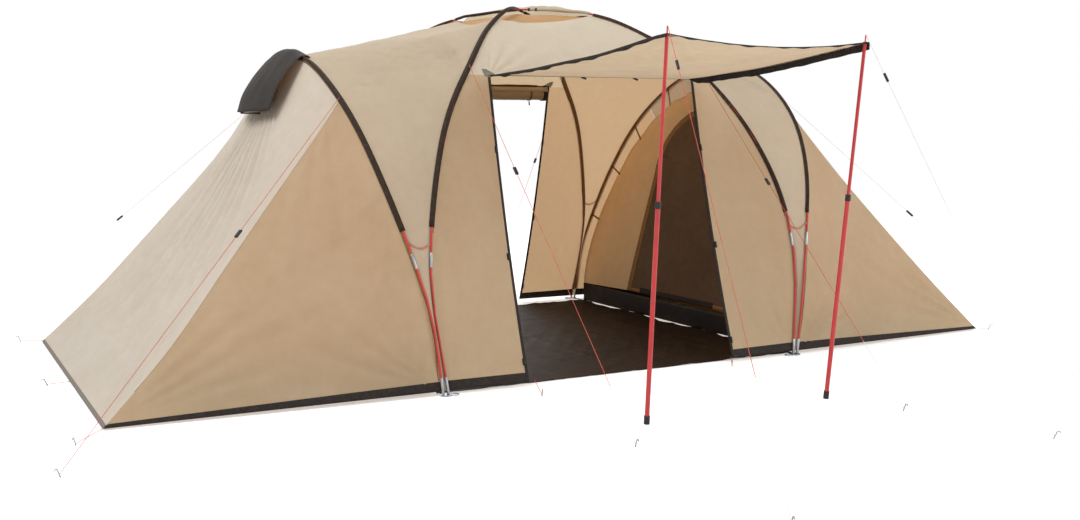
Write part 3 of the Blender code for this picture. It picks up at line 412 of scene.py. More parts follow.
def place_on(thing: Piece, body: str, slot: Slot, *nodes: str) -> Piece:
    """Lets a finished piece ride on a body of the frame.

    Args:
        thing: the piece.
        body: the body's name.
        slot: the material slot of the record; not used.
        nodes: the CAD nodes that it stands for.

    Returns:
        The piece.
    """
    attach(thing, body)
    if nodes:
        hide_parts(*nodes)
    LOG.info("%s rides on %s", thing.name, body)
    return thing


def grid_faces(
    height: int, width: int, rows_meet: bool = False, columns_meet: bool = False, flip: bool = False
) -> list[list[int]]:
    """The faces between the points of a grid that is numbered row by row.

    Args:
        height: how many rows it has.
        width: how many points a row has.
        rows_meet: whether the last row is joined to the first.
        columns_meet: whether each row is a ring.
        flip: whether the faces point the other way.

    Returns:
        Lists of point numbers.
    """
    faces = []
    for j in range(height if rows_meet else height - 1):
        for k in range(width if columns_meet else width - 1):
            row, after, right = j * width, (j + 1) % height * width, (k + 1) % width
            face = [row + k, row + right, after + right, after + k]
            faces.append(face[:1] + face[:0:-1] if flip else face)
    return faces


def new_piece(name: str, points: np.ndarray, faces: list, finish: Finish) -> Piece:
    """Makes a piece of cloth, tape or cord from its points and faces.

    Args:
        name: the piece's name.
        points: its points in metres, in a list or a grid.
        faces: lists of point numbers, counterclockwise from outside.
        finish: its finish.

    Returns:
        The new object, at the origin.
    """
    mesh = bpy.data.meshes.new(name)
    mesh.from_pydata([tuple(p) for p in np.reshape(points, (-1, 3))], [], faces)
    mesh.validate()
    mesh.polygons.foreach_set("use_smooth", [True] * len(mesh.polygons))
    thing = add_object(name, mesh)
    dress(thing, finish)
    return thing


def outwards(thing: Piece) -> Piece:
    """Turns a closed piece's faces to point outwards.

    Args:
        thing: the piece.

    Returns:
        The piece.
    """
    mesh = bmesh.new()
    mesh.from_mesh(thing.data)
    bmesh.ops.recalc_face_normals(mesh, faces=mesh.faces)
    mesh.to_mesh(thing.data)
    mesh.free()
    return thing


def thicken(thing: Piece, thickness: float, offset: float) -> None:
    """Gives a sheet its thickness.

    Args:
        thing: the sheet.
        thickness: how thick it becomes.
        offset: 0 where it grows to both sides, -1 where it grows inwards.
    """
    wall = thing.modifiers.new("thickness", "SOLIDIFY")
    wall.thickness, wall.offset = thickness, offset
    only(thing)
    bpy.ops.object.modifier_apply(modifier=wall.name)


def strip(name: str, rows: np.ndarray | list, thickness: float, finish: Finish, ring: bool = False) -> Piece:
    """A closed strip of cloth or tape through rows of points.

    Args:
        name: the piece's name.
        rows: rows of points.
        thickness: how thick the strip is, half to each side.
        finish: its finish.
        ring: whether its last row is joined to the first.

    Returns:
        The finished piece.
    """
    rows = np.array(rows)
    thing = new_piece(name, rows, grid_faces(*rows.shape[:2], rows_meet=ring), finish)
    thicken(thing, thickness, 0.0)
    return outwards(thing)


def spaced(points: list, step: float) -> np.ndarray:
    """Points at even steps along a line.

    Args:
        points: the line's own points.
        step: about how far apart the new ones are.

    Returns:
        The new points, from the first to the last.
    """
    line = np.array([tuple(p) for p in points], float)
    reach = np.concatenate([[0], np.cumsum(np.linalg.norm(np.diff(line, axis=0), axis=1))])
    marks = np.linspace(0, reach[-1], max(2, int(round(reach[-1] / step)) + 1))
    return np.stack([np.interp(marks, reach, line[:, k]) for k in range(3)], axis=1)


def tube(name: str, line: np.ndarray, radius: float, finish: Finish, sides: int = 8) -> Piece:
    """A closed tube along a line.

    Args:
        name: the piece's name.
        line: the points of its centreline.
        radius: the tube's radius.
        finish: its finish.
        sides: sides of its section.

    Returns:
        The new object.
    """
    ways = np.gradient(line, axis=0)
    ways /= np.linalg.norm(ways, axis=1)[:, None]
    up = np.array((0.0, 0.0, 1.0)) if abs(ways[0][2]) < 0.9 else np.array((1.0, 0.0, 0.0))
    rings = []
    for point, way in zip(line, ways):
        side = np.cross(way, up)
        side /= np.linalg.norm(side)
        up = np.cross(side, way)
        turns = [TURN * k / sides for k in range(sides)]
        rings.append([point + radius * (math.cos(t) * side + math.sin(t) * up) for t in turns])
    faces = grid_faces(len(line), sides, columns_meet=True)
    faces += [list(range(sides))[::-1], [(len(line) - 1) * sides + k for k in range(sides)]]
    return outwards(new_piece(name, np.array(rings), faces, finish))


def toggle(name: str, middle: np.ndarray, way: Point, half: float, radius: float) -> Piece:
    """A moulded toggle: a short bar with rounded ends.

    Args:
        name: the piece's name.
        middle: its middle.
        way: its direction.
        half: half its length.
        radius: its radius.

    Returns:
        The new object.
    """
    steps = (-half, MM - half, -0.004, 0.004, half - MM, half)
    return tube(name, np.array([middle + np.array(way) * s for s in steps]), radius, Finish.BLACK_PLASTIC, 10)


def settle(thing: Piece, finish: Finish) -> Piece:
    """Applies a primitive's place, smooths its round faces and dresses it.

    Args:
        thing: the piece.
        finish: its finish.

    Returns:
        The piece, at the origin.
    """
    only(thing)
    bpy.ops.object.transform_apply(location=True, rotation=True, scale=True)
    bpy.ops.object.shade_smooth_by_angle(angle=0.7)
    dress(thing, finish)
    return outwards(thing)


def ferrule(name: str, start: Vector, end: Vector, outer: float, inner: float, finish: Finish) -> Piece:
    """A short tube round a pole, with its edges eased.

    Args:
        name: the piece's name.
        start: the middle of one end.
        end: the middle of the other.
        outer: its outer radius.
        inner: its bore's radius.
        finish: its finish.

    Returns:
        The finished piece.
    """
    way = end - start
    bpy.ops.object.select_all(action="DESELECT")
    bpy.ops.mesh.primitive_circle_add(vertices=24, radius=outer)
    thing = bpy.context.object
    thing.name = name
    bpy.ops.object.mode_set(mode="EDIT")
    bpy.ops.mesh.select_all(action="SELECT")
    bpy.ops.mesh.extrude_region_move(TRANSFORM_OT_translate={"value": (0, 0, 0)})
    bpy.ops.transform.resize(value=(inner / outer,) * 3)
    bpy.ops.mesh.select_all(action="SELECT")
    bpy.ops.mesh.extrude_region_move(TRANSFORM_OT_translate={"value": (0, 0, way.length)})
    bpy.ops.mesh.select_all(action="SELECT")
    bpy.ops.mesh.normals_make_consistent(inside=False)
    bpy.ops.object.mode_set(mode="OBJECT")
    ease = thing.modifiers.new("edges", "BEVEL")
    ease.width, ease.segments, ease.limit_method = 0.6 * MM, 2, "ANGLE"
    bpy.ops.object.modifier_apply(modifier=ease.name)
    thing.matrix_world = Matrix.Translation(start) @ way.to_track_quat("Z", "Y").to_matrix().to_4x4()
    return settle(thing, finish)


def pole_centre(node: str, axis: int, value: float, x: int, y: int) -> Vector:
    """The middle of a pole where a level or upright plane cuts it.

    Args:
        node: the pole's node.
        axis: 0 for a plane of one x, 2 for one of one z.
        value: that x or z.
        x: the sign of x of the half that is meant.
        y: the sign of y of that half.

    Returns:
        The middle point.
    """
    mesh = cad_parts[node].data
    found = []
    for edge in mesh.edges:
        a, b = (mesh.vertices[k].co for k in edge.vertices)
        if (a[axis] - value) * (b[axis] - value) < 0:
            spot = a.lerp(b, (value - a[axis]) / (b[axis] - a[axis]))
            if spot.x * x > 0 and spot.y * y > 0:
                found.append(spot)
    spots = np.array([tuple(p) for p in found])
    return Vector((spots.min(axis=0) + spots.max(axis=0)) / 2)


# Cloth


def unit(way: np.ndarray | Point) -> np.ndarray:
    """The same direction, one metre long."""
    way = np.asarray(way, float)
    return way / max(np.linalg.norm(way), 1e-12)


@dataclass(frozen=True)
class Ripples:
    """Long shallow folds side by side, as where a panel is pulled one way."""

    along: Point
    apart: float
    depth_mm: float
    seed: int
    waves: int = 8

    def heights(self, points: np.ndarray, normal: np.ndarray) -> np.ndarray:
        """How far each point stands off the smooth cloth.

        Args:
            points: points on the cloth.
            normal: the way the cloth faces.

        Returns:
            The distances in metres.
        """
        draw = np.random.default_rng(self.seed)
        along = unit(self.along)
        across = unit(np.cross(normal, along))
        total = np.zeros(len(points))
        for _ in range(self.waves):
            way = unit(across + along * draw.normal(0, 0.22))
            size = self.apart * draw.uniform(0.6, 1.8)
            start, shift = draw.uniform(0, TURN, 2)
            fading = 0.5 + 0.5 * np.sin(points @ along * TURN / (size * 4.5) + shift)
            total += fading * np.sin(points @ way * TURN / size + start)
        return total * self.depth_mm * MM / math.sqrt(self.waves)


@dataclass(frozen=True)
class Fan:
    """Folds that spread from where the cloth is pulled: narrow and sharp there, wide and faint further off."""

    origin: Point
    towards: Point
    folds: float
    spread: float
    reach: float
    depth_mm: float
    seed: int
    clear: float = 0.09

    def heights(self, points: np.ndarray, normal: np.ndarray) -> np.ndarray:
        """How far each point stands off the smooth cloth.

        Args:
            points: points on the cloth.
            normal: the way the cloth faces.

        Returns:
            The distances in metres.
        """
        draw = np.random.default_rng(self.seed)
        away = points - np.asarray(self.origin)
        aim = unit(np.asarray(self.towards) - np.asarray(self.origin))
        side = unit(np.cross(normal, aim))
        reach = np.linalg.norm(away, axis=1)
        angle = np.arctan2(away @ side, away @ aim)
        inside = np.clip(1 - (angle / self.spread) ** 2, 0, 1)
        window = inside * np.clip(reach / self.clear, 0, 1) * np.clip(1 - reach / self.reach, 0, 1)
        bend = 0.35 * np.sin(reach * draw.uniform(4, 7) + draw.uniform(0, 6)) * draw.uniform(0.5, 1.0)
        turns = angle / self.spread * self.folds * math.pi / 2 + bend + draw.uniform(0, 6)
        return window * (np.abs(np.sin(turns)) ** 1.5 * 2 - 1) * self.depth_mm * MM


class Skin:
    """A cloth's outer face, taken from where the frame has it and drawn smooth through its points."""

    # A turn of the outline in radians that makes a corner, how far the folds fade towards seams and towards
    # the hem, and the share of what is missing that each fit makes up.
    CORNER = 0.6
    PINNED = 0.06
    HEM_FADE = 0.14
    MAKE_UP = 0.9

    def __init__(self, node: str, inside: Point, levels: int, short: float, fit: int) -> None:
        """Takes the outer face of a thin CAD solid.

        Args:
            node: the CAD node.
            inside: a point behind the cloth.
            levels: how many times each face is divided.
            short: edges up to this long are the solid's rim.
            fit: how often it is fitted to the CAD points, or 0 for flat faces between them.
        """
        cage = bmesh.new()
        cage.from_mesh(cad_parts[node].data)
        bmesh.ops.remove_doubles(cage, verts=cage.verts, dist=1e-5)
        rim = [f for f in cage.faces if min(e.calc_length() for e in f.edges) < short]
        bmesh.ops.delete(cage, geom=rim, context="FACES")
        keep = self.outer(cage, Vector(inside))
        bmesh.ops.delete(cage, geom=[f for f in cage.faces if f not in keep], context="FACES")
        bmesh.ops.join_triangles(cage, faces=cage.faces[:], angle_face_threshold=3.1, angle_shape_threshold=3.1)
        crease = cage.verts.layers.float.new("crease_vert")
        for vert in cage.verts:
            ends = [e.other_vert(vert).co - vert.co for e in vert.link_edges if e.is_boundary]
            if len(ends) == 2 and ends[0].angle(-ends[1]) > self.CORNER:
                vert[crease] = 1.0
        mesh = bpy.data.meshes.new(node + "_skin")
        cage.to_mesh(mesh)
        cage.free()
        self.thing = add_object(node + "_skin", mesh)
        self.divide(levels, fit)
        self.find_edges()

    @staticmethod
    def outer(cage: bmesh.types.BMesh, inside: Vector) -> set:
        """The sheet of a thin solid that faces away from a point.

        Args:
            cage: the solid without its rim, so that its two sheets hang apart.
            inside: the point.

        Returns:
            The sheet's faces.
        """
        left, sheets = set(cage.faces), []
        while left:
            stack, faces = [left.pop()], []
            while stack:
                faces.append(stack.pop())
                for other in (f for e in faces[-1].edges for f in e.link_faces if f in left):
                    left.discard(other)
                    stack.append(other)
            away = sum(f.calc_area() * f.normal.dot(f.calc_center_median() - inside) for f in faces)
            sheets.append((away, set(faces)))
        return max(sheets, key=lambda sheet: sheet[0])[1]

    def divide(self, levels: int, fit: int) -> None:
        """Divides the sheet so that the smooth one still runs through its first points.

        Args:
            levels: how many times each face is divided.
            fit: how often it is fitted to them.
        """
        mesh = self.thing.data
        aim = self.read(mesh)
        cage = aim.copy()
        step = self.thing.modifiers.new("smooth", "SUBSURF")
        step.levels = step.render_levels = levels
        step.boundary_smooth = "PRESERVE_CORNERS"
        if not fit:
            step.subdivision_type = "SIMPLE"
        for _ in range(fit):
            shown = self.thing.evaluated_get(bpy.context.evaluated_depsgraph_get())
            cage += self.MAKE_UP * (aim - self.read(shown.data)[: len(aim)])
            mesh.vertices.foreach_set("co", cage.ravel())
            mesh.update()
        only(self.thing)
        bpy.ops.object.modifier_apply(modifier=step.name)

    @staticmethod
    def read(mesh: bpy.types.Mesh, what: str = "co") -> np.ndarray:
        """A mesh's points as rows of x, y, z.

        Args:
            mesh: the mesh.
            what: co for the points' places, normal for their normals.

        Returns:
            The rows.
        """
        values = np.empty(len(mesh.vertices) * 3)
        mesh.vertices.foreach_get(what, values)
        return values.reshape(-1, 3)

    def find_edges(self) -> None:
        """Notes the sheet's points, normals and outline."""
        mesh = self.thing.data
        self.points, self.normals = self.read(mesh), self.read(mesh, "normal")
        faces: dict = {}
        for polygon in mesh.polygons:
            for key in polygon.edge_keys:
                faces[key] = faces.get(key, 0) + 1
        self.outline = [key for key, count in faces.items() if count == 1]
        corners = [tuple(polygon.vertices) for polygon in mesh.polygons]
        self.tree = BVHTree.FromPolygons([tuple(p) for p in self.points], corners)

    def fold(self, folds: tuple) -> None:
        """Moves the cloth in and out along its folds, and not at all where it is sewn.

        Args:
            folds: its ripples and fans.
        """
        seams = sorted({k for key in self.outline for k in key})
        near = KDTree(max(1, len(seams)))
        for k in seams:
            near.insert(self.points[k], k)
        near.balance()
        away = np.array([near.find(p)[2] if seams else 1.0 for p in self.points])
        share = np.clip(away / self.PINNED, 0, 1)
        share = share * np.clip((self.points[:, 2] - 0.02) / self.HEM_FADE, 0.05, 1)
        share = share * share * (3 - 2 * share)
        facing = unit(self.normals.mean(axis=0))
        total = sum((fold.heights(self.points, facing) for fold in folds), np.zeros(len(self.points)))
        moved = self.points + self.normals * (total * share)[:, None]
        self.thing.data.vertices.foreach_set("co", moved.ravel())
        self.thing.data.update()
        self.find_edges()

    def on(self, point: np.ndarray, off: float) -> np.ndarray:
        """The spot on the cloth next to a point, lifted off its outside."""
        spot, normal, _, _ = self.tree.find_nearest(Vector(point))
        return np.array(spot) + np.array(normal) * off

    def edges(self, test: Callable) -> list[np.ndarray]:
        """The stretches of the outline whose points pass a test, the longest first.

        Args:
            test: a function of a point.

        Returns:
            Each stretch's points in order.
        """
        beside: dict = {}
        for a, b in self.outline:
            if test(self.points[a]) and test(self.points[b]):
                beside.setdefault(a, []).append(b)
                beside.setdefault(b, []).append(a)
        lines = []
        while beside:
            here = min(beside, key=lambda k: (len(beside[k]), k))
            line = [here]
            while beside.get(here):
                after = beside[here].pop()
                beside[after].remove(here)
                if not beside[here]:
                    del beside[here]
                line.append(after)
                here = after
            beside = {k: v for k, v in beside.items() if v}
            lines.append(self.points[line])
        return sorted(lines, key=len, reverse=True)

    def hems(self) -> list[np.ndarray]:
        """The level stretches of the outline near the ground, the longest first.

        Returns:
            Each stretch's points in order.
        """
        lines = []
        for line in self.edges(lambda p: p[2] < 0.045):
            steps = np.diff(line, axis=0)
            found = np.flatnonzero(np.abs(steps[:, 2]) < 0.35 * np.linalg.norm(steps, axis=1))
            if len(found) > 3:
                lines.append(line[found[0] : found[-1] + 2])
        return lines


@dataclass(frozen=True)
class Tape:
    """A tape sewn to a cloth along its edge, narrower from the pole feet outwards where it tapers."""

    width: float
    finish: Finish
    thickness: float = 2.2 * MM
    rise: float = -0.4 * MM
    columns: int = 2
    over: float = 0.0
    taper: float = 0.0
    taper_from: float = 1.04
    taper_over: float = 1.46

    def lay(self, name: str, skin: Skin, path: np.ndarray, step: float = 0.012) -> Piece:
        """Lays the tape on a cloth.

        Args:
            name: the piece's name.
            skin: the cloth.
            path: the line that it follows.
            step: about how far apart its rows are.

        Returns:
            The tape, closed all round.
        """
        nearest = skin.tree.find_nearest
        path = spaced(list(path), step)
        ways = np.gradient(path, axis=0)
        sides = [unit(np.cross(np.array(nearest(Vector(p))[1]), unit(way))) for p, way in zip(path, ways)]
        plus, minus = (
            sum(nearest(Vector(p + sign * s * self.width))[3] for p, s in zip(path, sides)) for sign in (1, -1)
        )
        if plus > minus:
            sides = [-side for side in sides]
        rows = []
        for point, side in zip(path, sides):
            row = []
            if self.over:
                spot, normal, _, _ = nearest(Vector(point + side * 2 * MM))
                row.append(np.array(spot) - side * self.over + np.array(normal) * self.rise)
            past = min(1.0, max(0.0, abs(point[0]) - self.taper_from) / self.taper_over)
            width = self.width * (1 - self.taper * past)
            for k in range(self.columns + 1):
                spot = skin.on(point + side * width * (k / self.columns), self.rise)
                row.append(spot + (0.0 if k else -side * 1.2 * MM))
            rows.append(row)
        return strip(name, rows, self.thickness, self.finish)


@dataclass(frozen=True)
class Cut:
    """One cut piece of cloth: where it comes from, what it is and how it falls."""

    node: str
    slot: Slot
    finish: Finish
    flat: tuple[float, float]
    area: float | None
    inside: Point
    folds: tuple = ()
    body: str = "tent"
    held: str = "stretched"
    levels: int = 3
    thickness: float = 0.0
    short: float = 1.6 * MM
    fit: int = 3
    pale_above: float = math.inf

    def make(self, sewn_on: Callable[[Skin], list] = lambda skin: []) -> None:
        """Makes the cloth and what is sewn to it, and puts them on their body.

        Args:
            sewn_on: makes the pieces that are sewn to the cloth's skin.
        """
        skin = Skin(self.node, self.inside, self.levels, self.short, self.fit)
        if self.folds:
            skin.fold(self.folds)
        trims = sewn_on(skin)
        thing = skin.thing
        thing.name = self.node + "_cloth"
        if self.thickness:
            thicken(thing, self.thickness, -1.0)
        faces = thing.data.polygons
        faces.foreach_set("use_smooth", [True] * len(faces))
        dress(thing, self.finish)
        # Faces above this height take the same cloth painted paler: painted light from above.
        if self.pale_above < math.inf:
            thing.data.materials.append(Finish.CROWN_CLOTH.material())
            faces.foreach_set("material_index", [int(face.center.z > self.pale_above) for face in faces])
        place_on(thing, self.body, self.slot, self.node)
        for trim in trims:
            place_on(trim, self.body, self.slot)


# The tent's cloth


@dataclass
class Flysheet:
    """The sand coloured outer tent with its dark hems, and the roof over the crossing poles."""

    hem: Tape = Tape(0.045, Finish.HEM_TAPE, columns=4, taper=0.65)
    end_hem: Tape = Tape(0.018, Finish.GREY_TAPE)
    door_edge: Tape = Tape(0.014, Finish.HEM_TAPE)
    seam: Tape = Tape(0.013, Finish.BROWN_TAPE, thickness=0.8 * MM, rise=-1.8 * MM, over=0.017)
    tie_x: float = 0.612
    tie_spots: tuple = ((0.877, 1.11), (1.038, 0.606), (1.195, 0.12))
    header_toggles: tuple = (-0.07, 0.245)
    header_seam: Point = (0.515, 0.797, 1.483)

    def build(self) -> None:
        """Makes every panel."""
        for end in End:
            self.door_panel(end)
        for side in Side:
            self.side_roof(side)
            for end in End:
                self.cabin_side(side, end)
            self.cabin_end(side)

    def door_panel(self, end: End) -> None:
        """The front or rear panel: two strips of wall beside a doorway, and the roof above it.

        Args:
            end: front or rear.
        """
        y = end.value
        corners = [(x * DOOR_HALF, y * HEADER_Y, HEADER_Z) for x in (-1, 1)]
        folds = (
            Fan(corners[0], (0, y * 0.45, 1.75), 5, 0.8, 0.7, 5, seed=3),
            Fan(corners[1], (0, y * 0.45, 1.75), 5, 0.8, 0.7, 5, seed=4),
            Fan((-1.0, y * 1.2, 0.02), (-0.72, y * 1.0, 0.8), 3, 0.5, 1.1, 5, seed=5),
            Fan((1.0, y * 1.2, 0.02), (0.72, y * 1.0, 0.8), 3, 0.5, 1.1, 5, seed=6),
            Ripples((0, y * -0.3, 1), 0.16, 2.5, seed=7),
        )
        area = 1.83 if end is End.REAR else 1.77
        # The roof above the header is painted paler, as painted light from above.
        Cut(
            end.word + "_panel", Slot.WALL, Finish.WALL_CLOTH, (2.2, 2.3), area, (0, 0, 0.4), folds, levels=4,
            pale_above=HEADER_Z,
        ).make(lambda skin: self.sewn_on_panel(end, skin))

    def sewn_on_panel(self, end: End, skin: Skin) -> list:
        """What is sewn to a door panel: patches, toggles and a seam at its doorway, and its hems and binding.

        Args:
            end: front or rear.
            skin: the panel's cloth.

        Returns:
            The sewn pieces.
        """
        way = end.value
        header = np.array((DOOR_HALF, way * HEADER_Y, HEADER_Z))
        found = []
        for side in Side:
            x = side.value
            rows = []
            for j in range(5):
                high, reach = 0.003 + 0.042 * j / 4, 0.078 - 0.055 * j / 4
                row = [header * (x, 1, 1) + (x * (0.022 - reach * t / 5), -way * high * 0.7, high) for t in range(6)]
                rows.append([skin.on(p, 1.2 * MM) for p in row])
            found.append(strip(f"{end.word}_header_patch_{side.word}", rows, 0.8 * MM, Finish.GREY_TAPE))
            for k, (y, z) in enumerate(self.tie_spots, 1):
                spot = np.array((x * self.tie_x, way * y, z))
                rows = [
                    [skin.on(spot + (x * s, -way * 0.3 * r, r), 1.6 * MM) for s in (-0.008, 0, 0.008)]
                    for r in (-0.016, -0.005, 0.006, 0.016)
                ]
                name = f"{side.word}_{k}"
                found.append(strip(f"{end.word}_tie_{name}", rows, 1.2 * MM, Finish.HEM_TAPE))
                middle = skin.on(spot, 6.5 * MM)
                found.append(toggle(f"{end.word}_toggle_{name}", middle, (0, way * 0.3, -1), 0.013, 4.2 * MM))
        for k, x in enumerate(self.header_toggles, 1):
            top = np.array((x, way * 0.803, 1.470))
            found.append(toggle(f"{end.word}_header_toggle_{k}", top, (1, 0, -0.35), 0.014, 5.0 * MM))
        half, y, z = self.header_seam
        line = spaced([(-half, way * y, z), (half, way * y, z)], 0.02)
        rows = [[skin.on(p + (0, -way * h * 0.6, h), -1.6 * MM) for h in (0.003, 0.009, 0.015)] for p in line]
        found.append(strip(end.word + "_header_seam", rows, 0.8 * MM, Finish.BROWN_TAPE))
        found += [self.hem.lay(f"{end.word}_hem_{k}", skin, path) for k, path in enumerate(skin.hems()[:2], 1)]
        doorway = skin.edges(lambda p: abs(p[0]) < DOOR_HALF + 0.005 and p[2] < HEADER_Z + 0.005)[:1]
        return found + [self.door_edge.lay(end.word + "_doorway_binding", skin, path) for path in doorway]

    def side_roof(self, side: Side) -> None:
        """The roof between the crossing poles and an arch, with its feet.

        Args:
            side: left or right.
        """
        x = side.value
        name = "side_roof_" + side.word
        folds = (
            Ripples((x * 0.3, 1, 0), 0.2, 3.0, seed=11 + x),
            Fan((x * 0.7, -0.75, 1.52), (x * 1.2, 0.1, 1.6), 8, 0.7, 1.0, 11, seed=12 + x),
            Fan((x * 1.33, -0.7, 1.36), (x * 0.4, -0.2, 1.75), 8, 0.6, 0.9, 9, seed=15 + x),
            Fan((x * 0.7, 0.75, 1.52), (x * 1.2, -0.1, 1.6), 4, 0.7, 1.0, 6, seed=18 + x),
        )
        area = 2.15 if side is Side.LEFT else 2.23
        Cut(name, Slot.ROOF, Finish.ROOF_CLOTH, (1.25, 4.1), area, (x * 0.6, 0, 0.4), folds).make(
            lambda skin: [
                self.seam.lay(f"{name}_seam_{k}", skin, path, 0.02)
                for k, path in enumerate(skin.edges(lambda p: p[2] > 0.06)[:2], 1)
            ]
        )

    def cabin_side(self, side: Side, end: End) -> None:
        """A bedroom's front or rear wall.

        Args:
            side: left or right.
            end: front or rear.
        """
        x, y = side.value, end.value
        folds = (
            Fan((x * END_X, y * END_Y, 0.02), (x * 1.4, y * 0.95, 0.7), 7, 0.6, 1.4, 10 + 3 * x, seed=21 + x),
            Fan((x * 1.04, y * 1.2, 0.02), (x * 1.9, y * 0.85, 0.5), 5, 0.6, 1.0, 9 + 2 * x, seed=24 + x),
            Fan((x * 1.36, y * 0.45, 1.5), (x * 1.7, y * 0.9, 0.5), 5, 0.4, 1.2, 10 + 2 * x, seed=27 + x),
            Ripples((x * 0.7, 0, -0.6), 0.17, 2.5, seed=29 + x),
        )
        node = f"cabin_{side.word}_{end.word}"
        Cut(node, Slot.WALL, Finish.WALL_CLOTH, (1.40, 1.55), 1.06, (x * 1.6, 0, 0.4), folds, levels=4).make(
            lambda skin: [self.hem.lay(node + "_hem", skin, path) for path in skin.hems()[:1]]
        )

    def cabin_end(self, side: Side) -> None:
        """A bedroom's end wall, pulled into long folds from under its vent hood.

        Args:
            side: left or right.
        """
        x = side.value
        hood = (x * 1.42, 0, 1.5)
        folds = (
            Fan(hood, (x * 2.2, -0.2, 0.3), 13, 0.75, 1.9, 32, seed=31 + x, clear=0.5),
            Fan(hood, (x * 2.2, 0.1, 0.3), 7, 0.75, 2.0, 18, seed=33 + x, clear=0.5),
            Fan((x * 2.6, -END_Y, 0.0), (x * 1.7, -0.1, 0.9), 6, 0.5, 1.5, 8, seed=34 + x),
            Fan((x * 2.6, END_Y, 0.0), (x * 1.7, 0.1, 0.9), 6, 0.5, 1.5, 8, seed=37 + x),
            Ripples((x * 0.75, 0.12, -0.9), 0.15, 2.0, seed=39 + x),
        )
        node = f"cabin_{side.word}_end"
        # The end walls' cloth is painted paler and greyer as painted light.
        Cut(node, Slot.WALL, Finish.END_CLOTH, (2.3, 2.15), 3.41, (x * 1.3, 0, 0.4), folds, levels=4).make(
            lambda skin: [self.end_hem.lay(node + "_hem", skin, path) for path in skin.hems()[:1]]
        )


@dataclass
class Sleeves:
    """Dark webbing sleeves that hold the poles."""

    cuts: tuple = (
        ("arch_sleeve_left", 0.043, 3.01),
        ("arch_sleeve_right", 0.043, 3.01),
        ("diagonal_sleeve_front_left", 0.039, 1.89),
        ("diagonal_sleeve_front_right", 0.039, 1.59),
        ("diagonal_sleeve_rear_left", 0.039, 1.57),
        ("diagonal_sleeve_rear_right", 0.039, 1.46),
    )

    def build(self) -> None:
        """Makes the six sleeves."""
        for node, *flat in self.cuts:
            inside = tuple(np.array(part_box(node)).mean(axis=0) * (0.8, 0.6, 0.2))
            Cut(
                node, Slot.SLEEVE, Finish.SLEEVE_TAPE, tuple(flat), None, inside, levels=2, thickness=0.7 * MM,
                short=1.0 * MM,
            ).make()


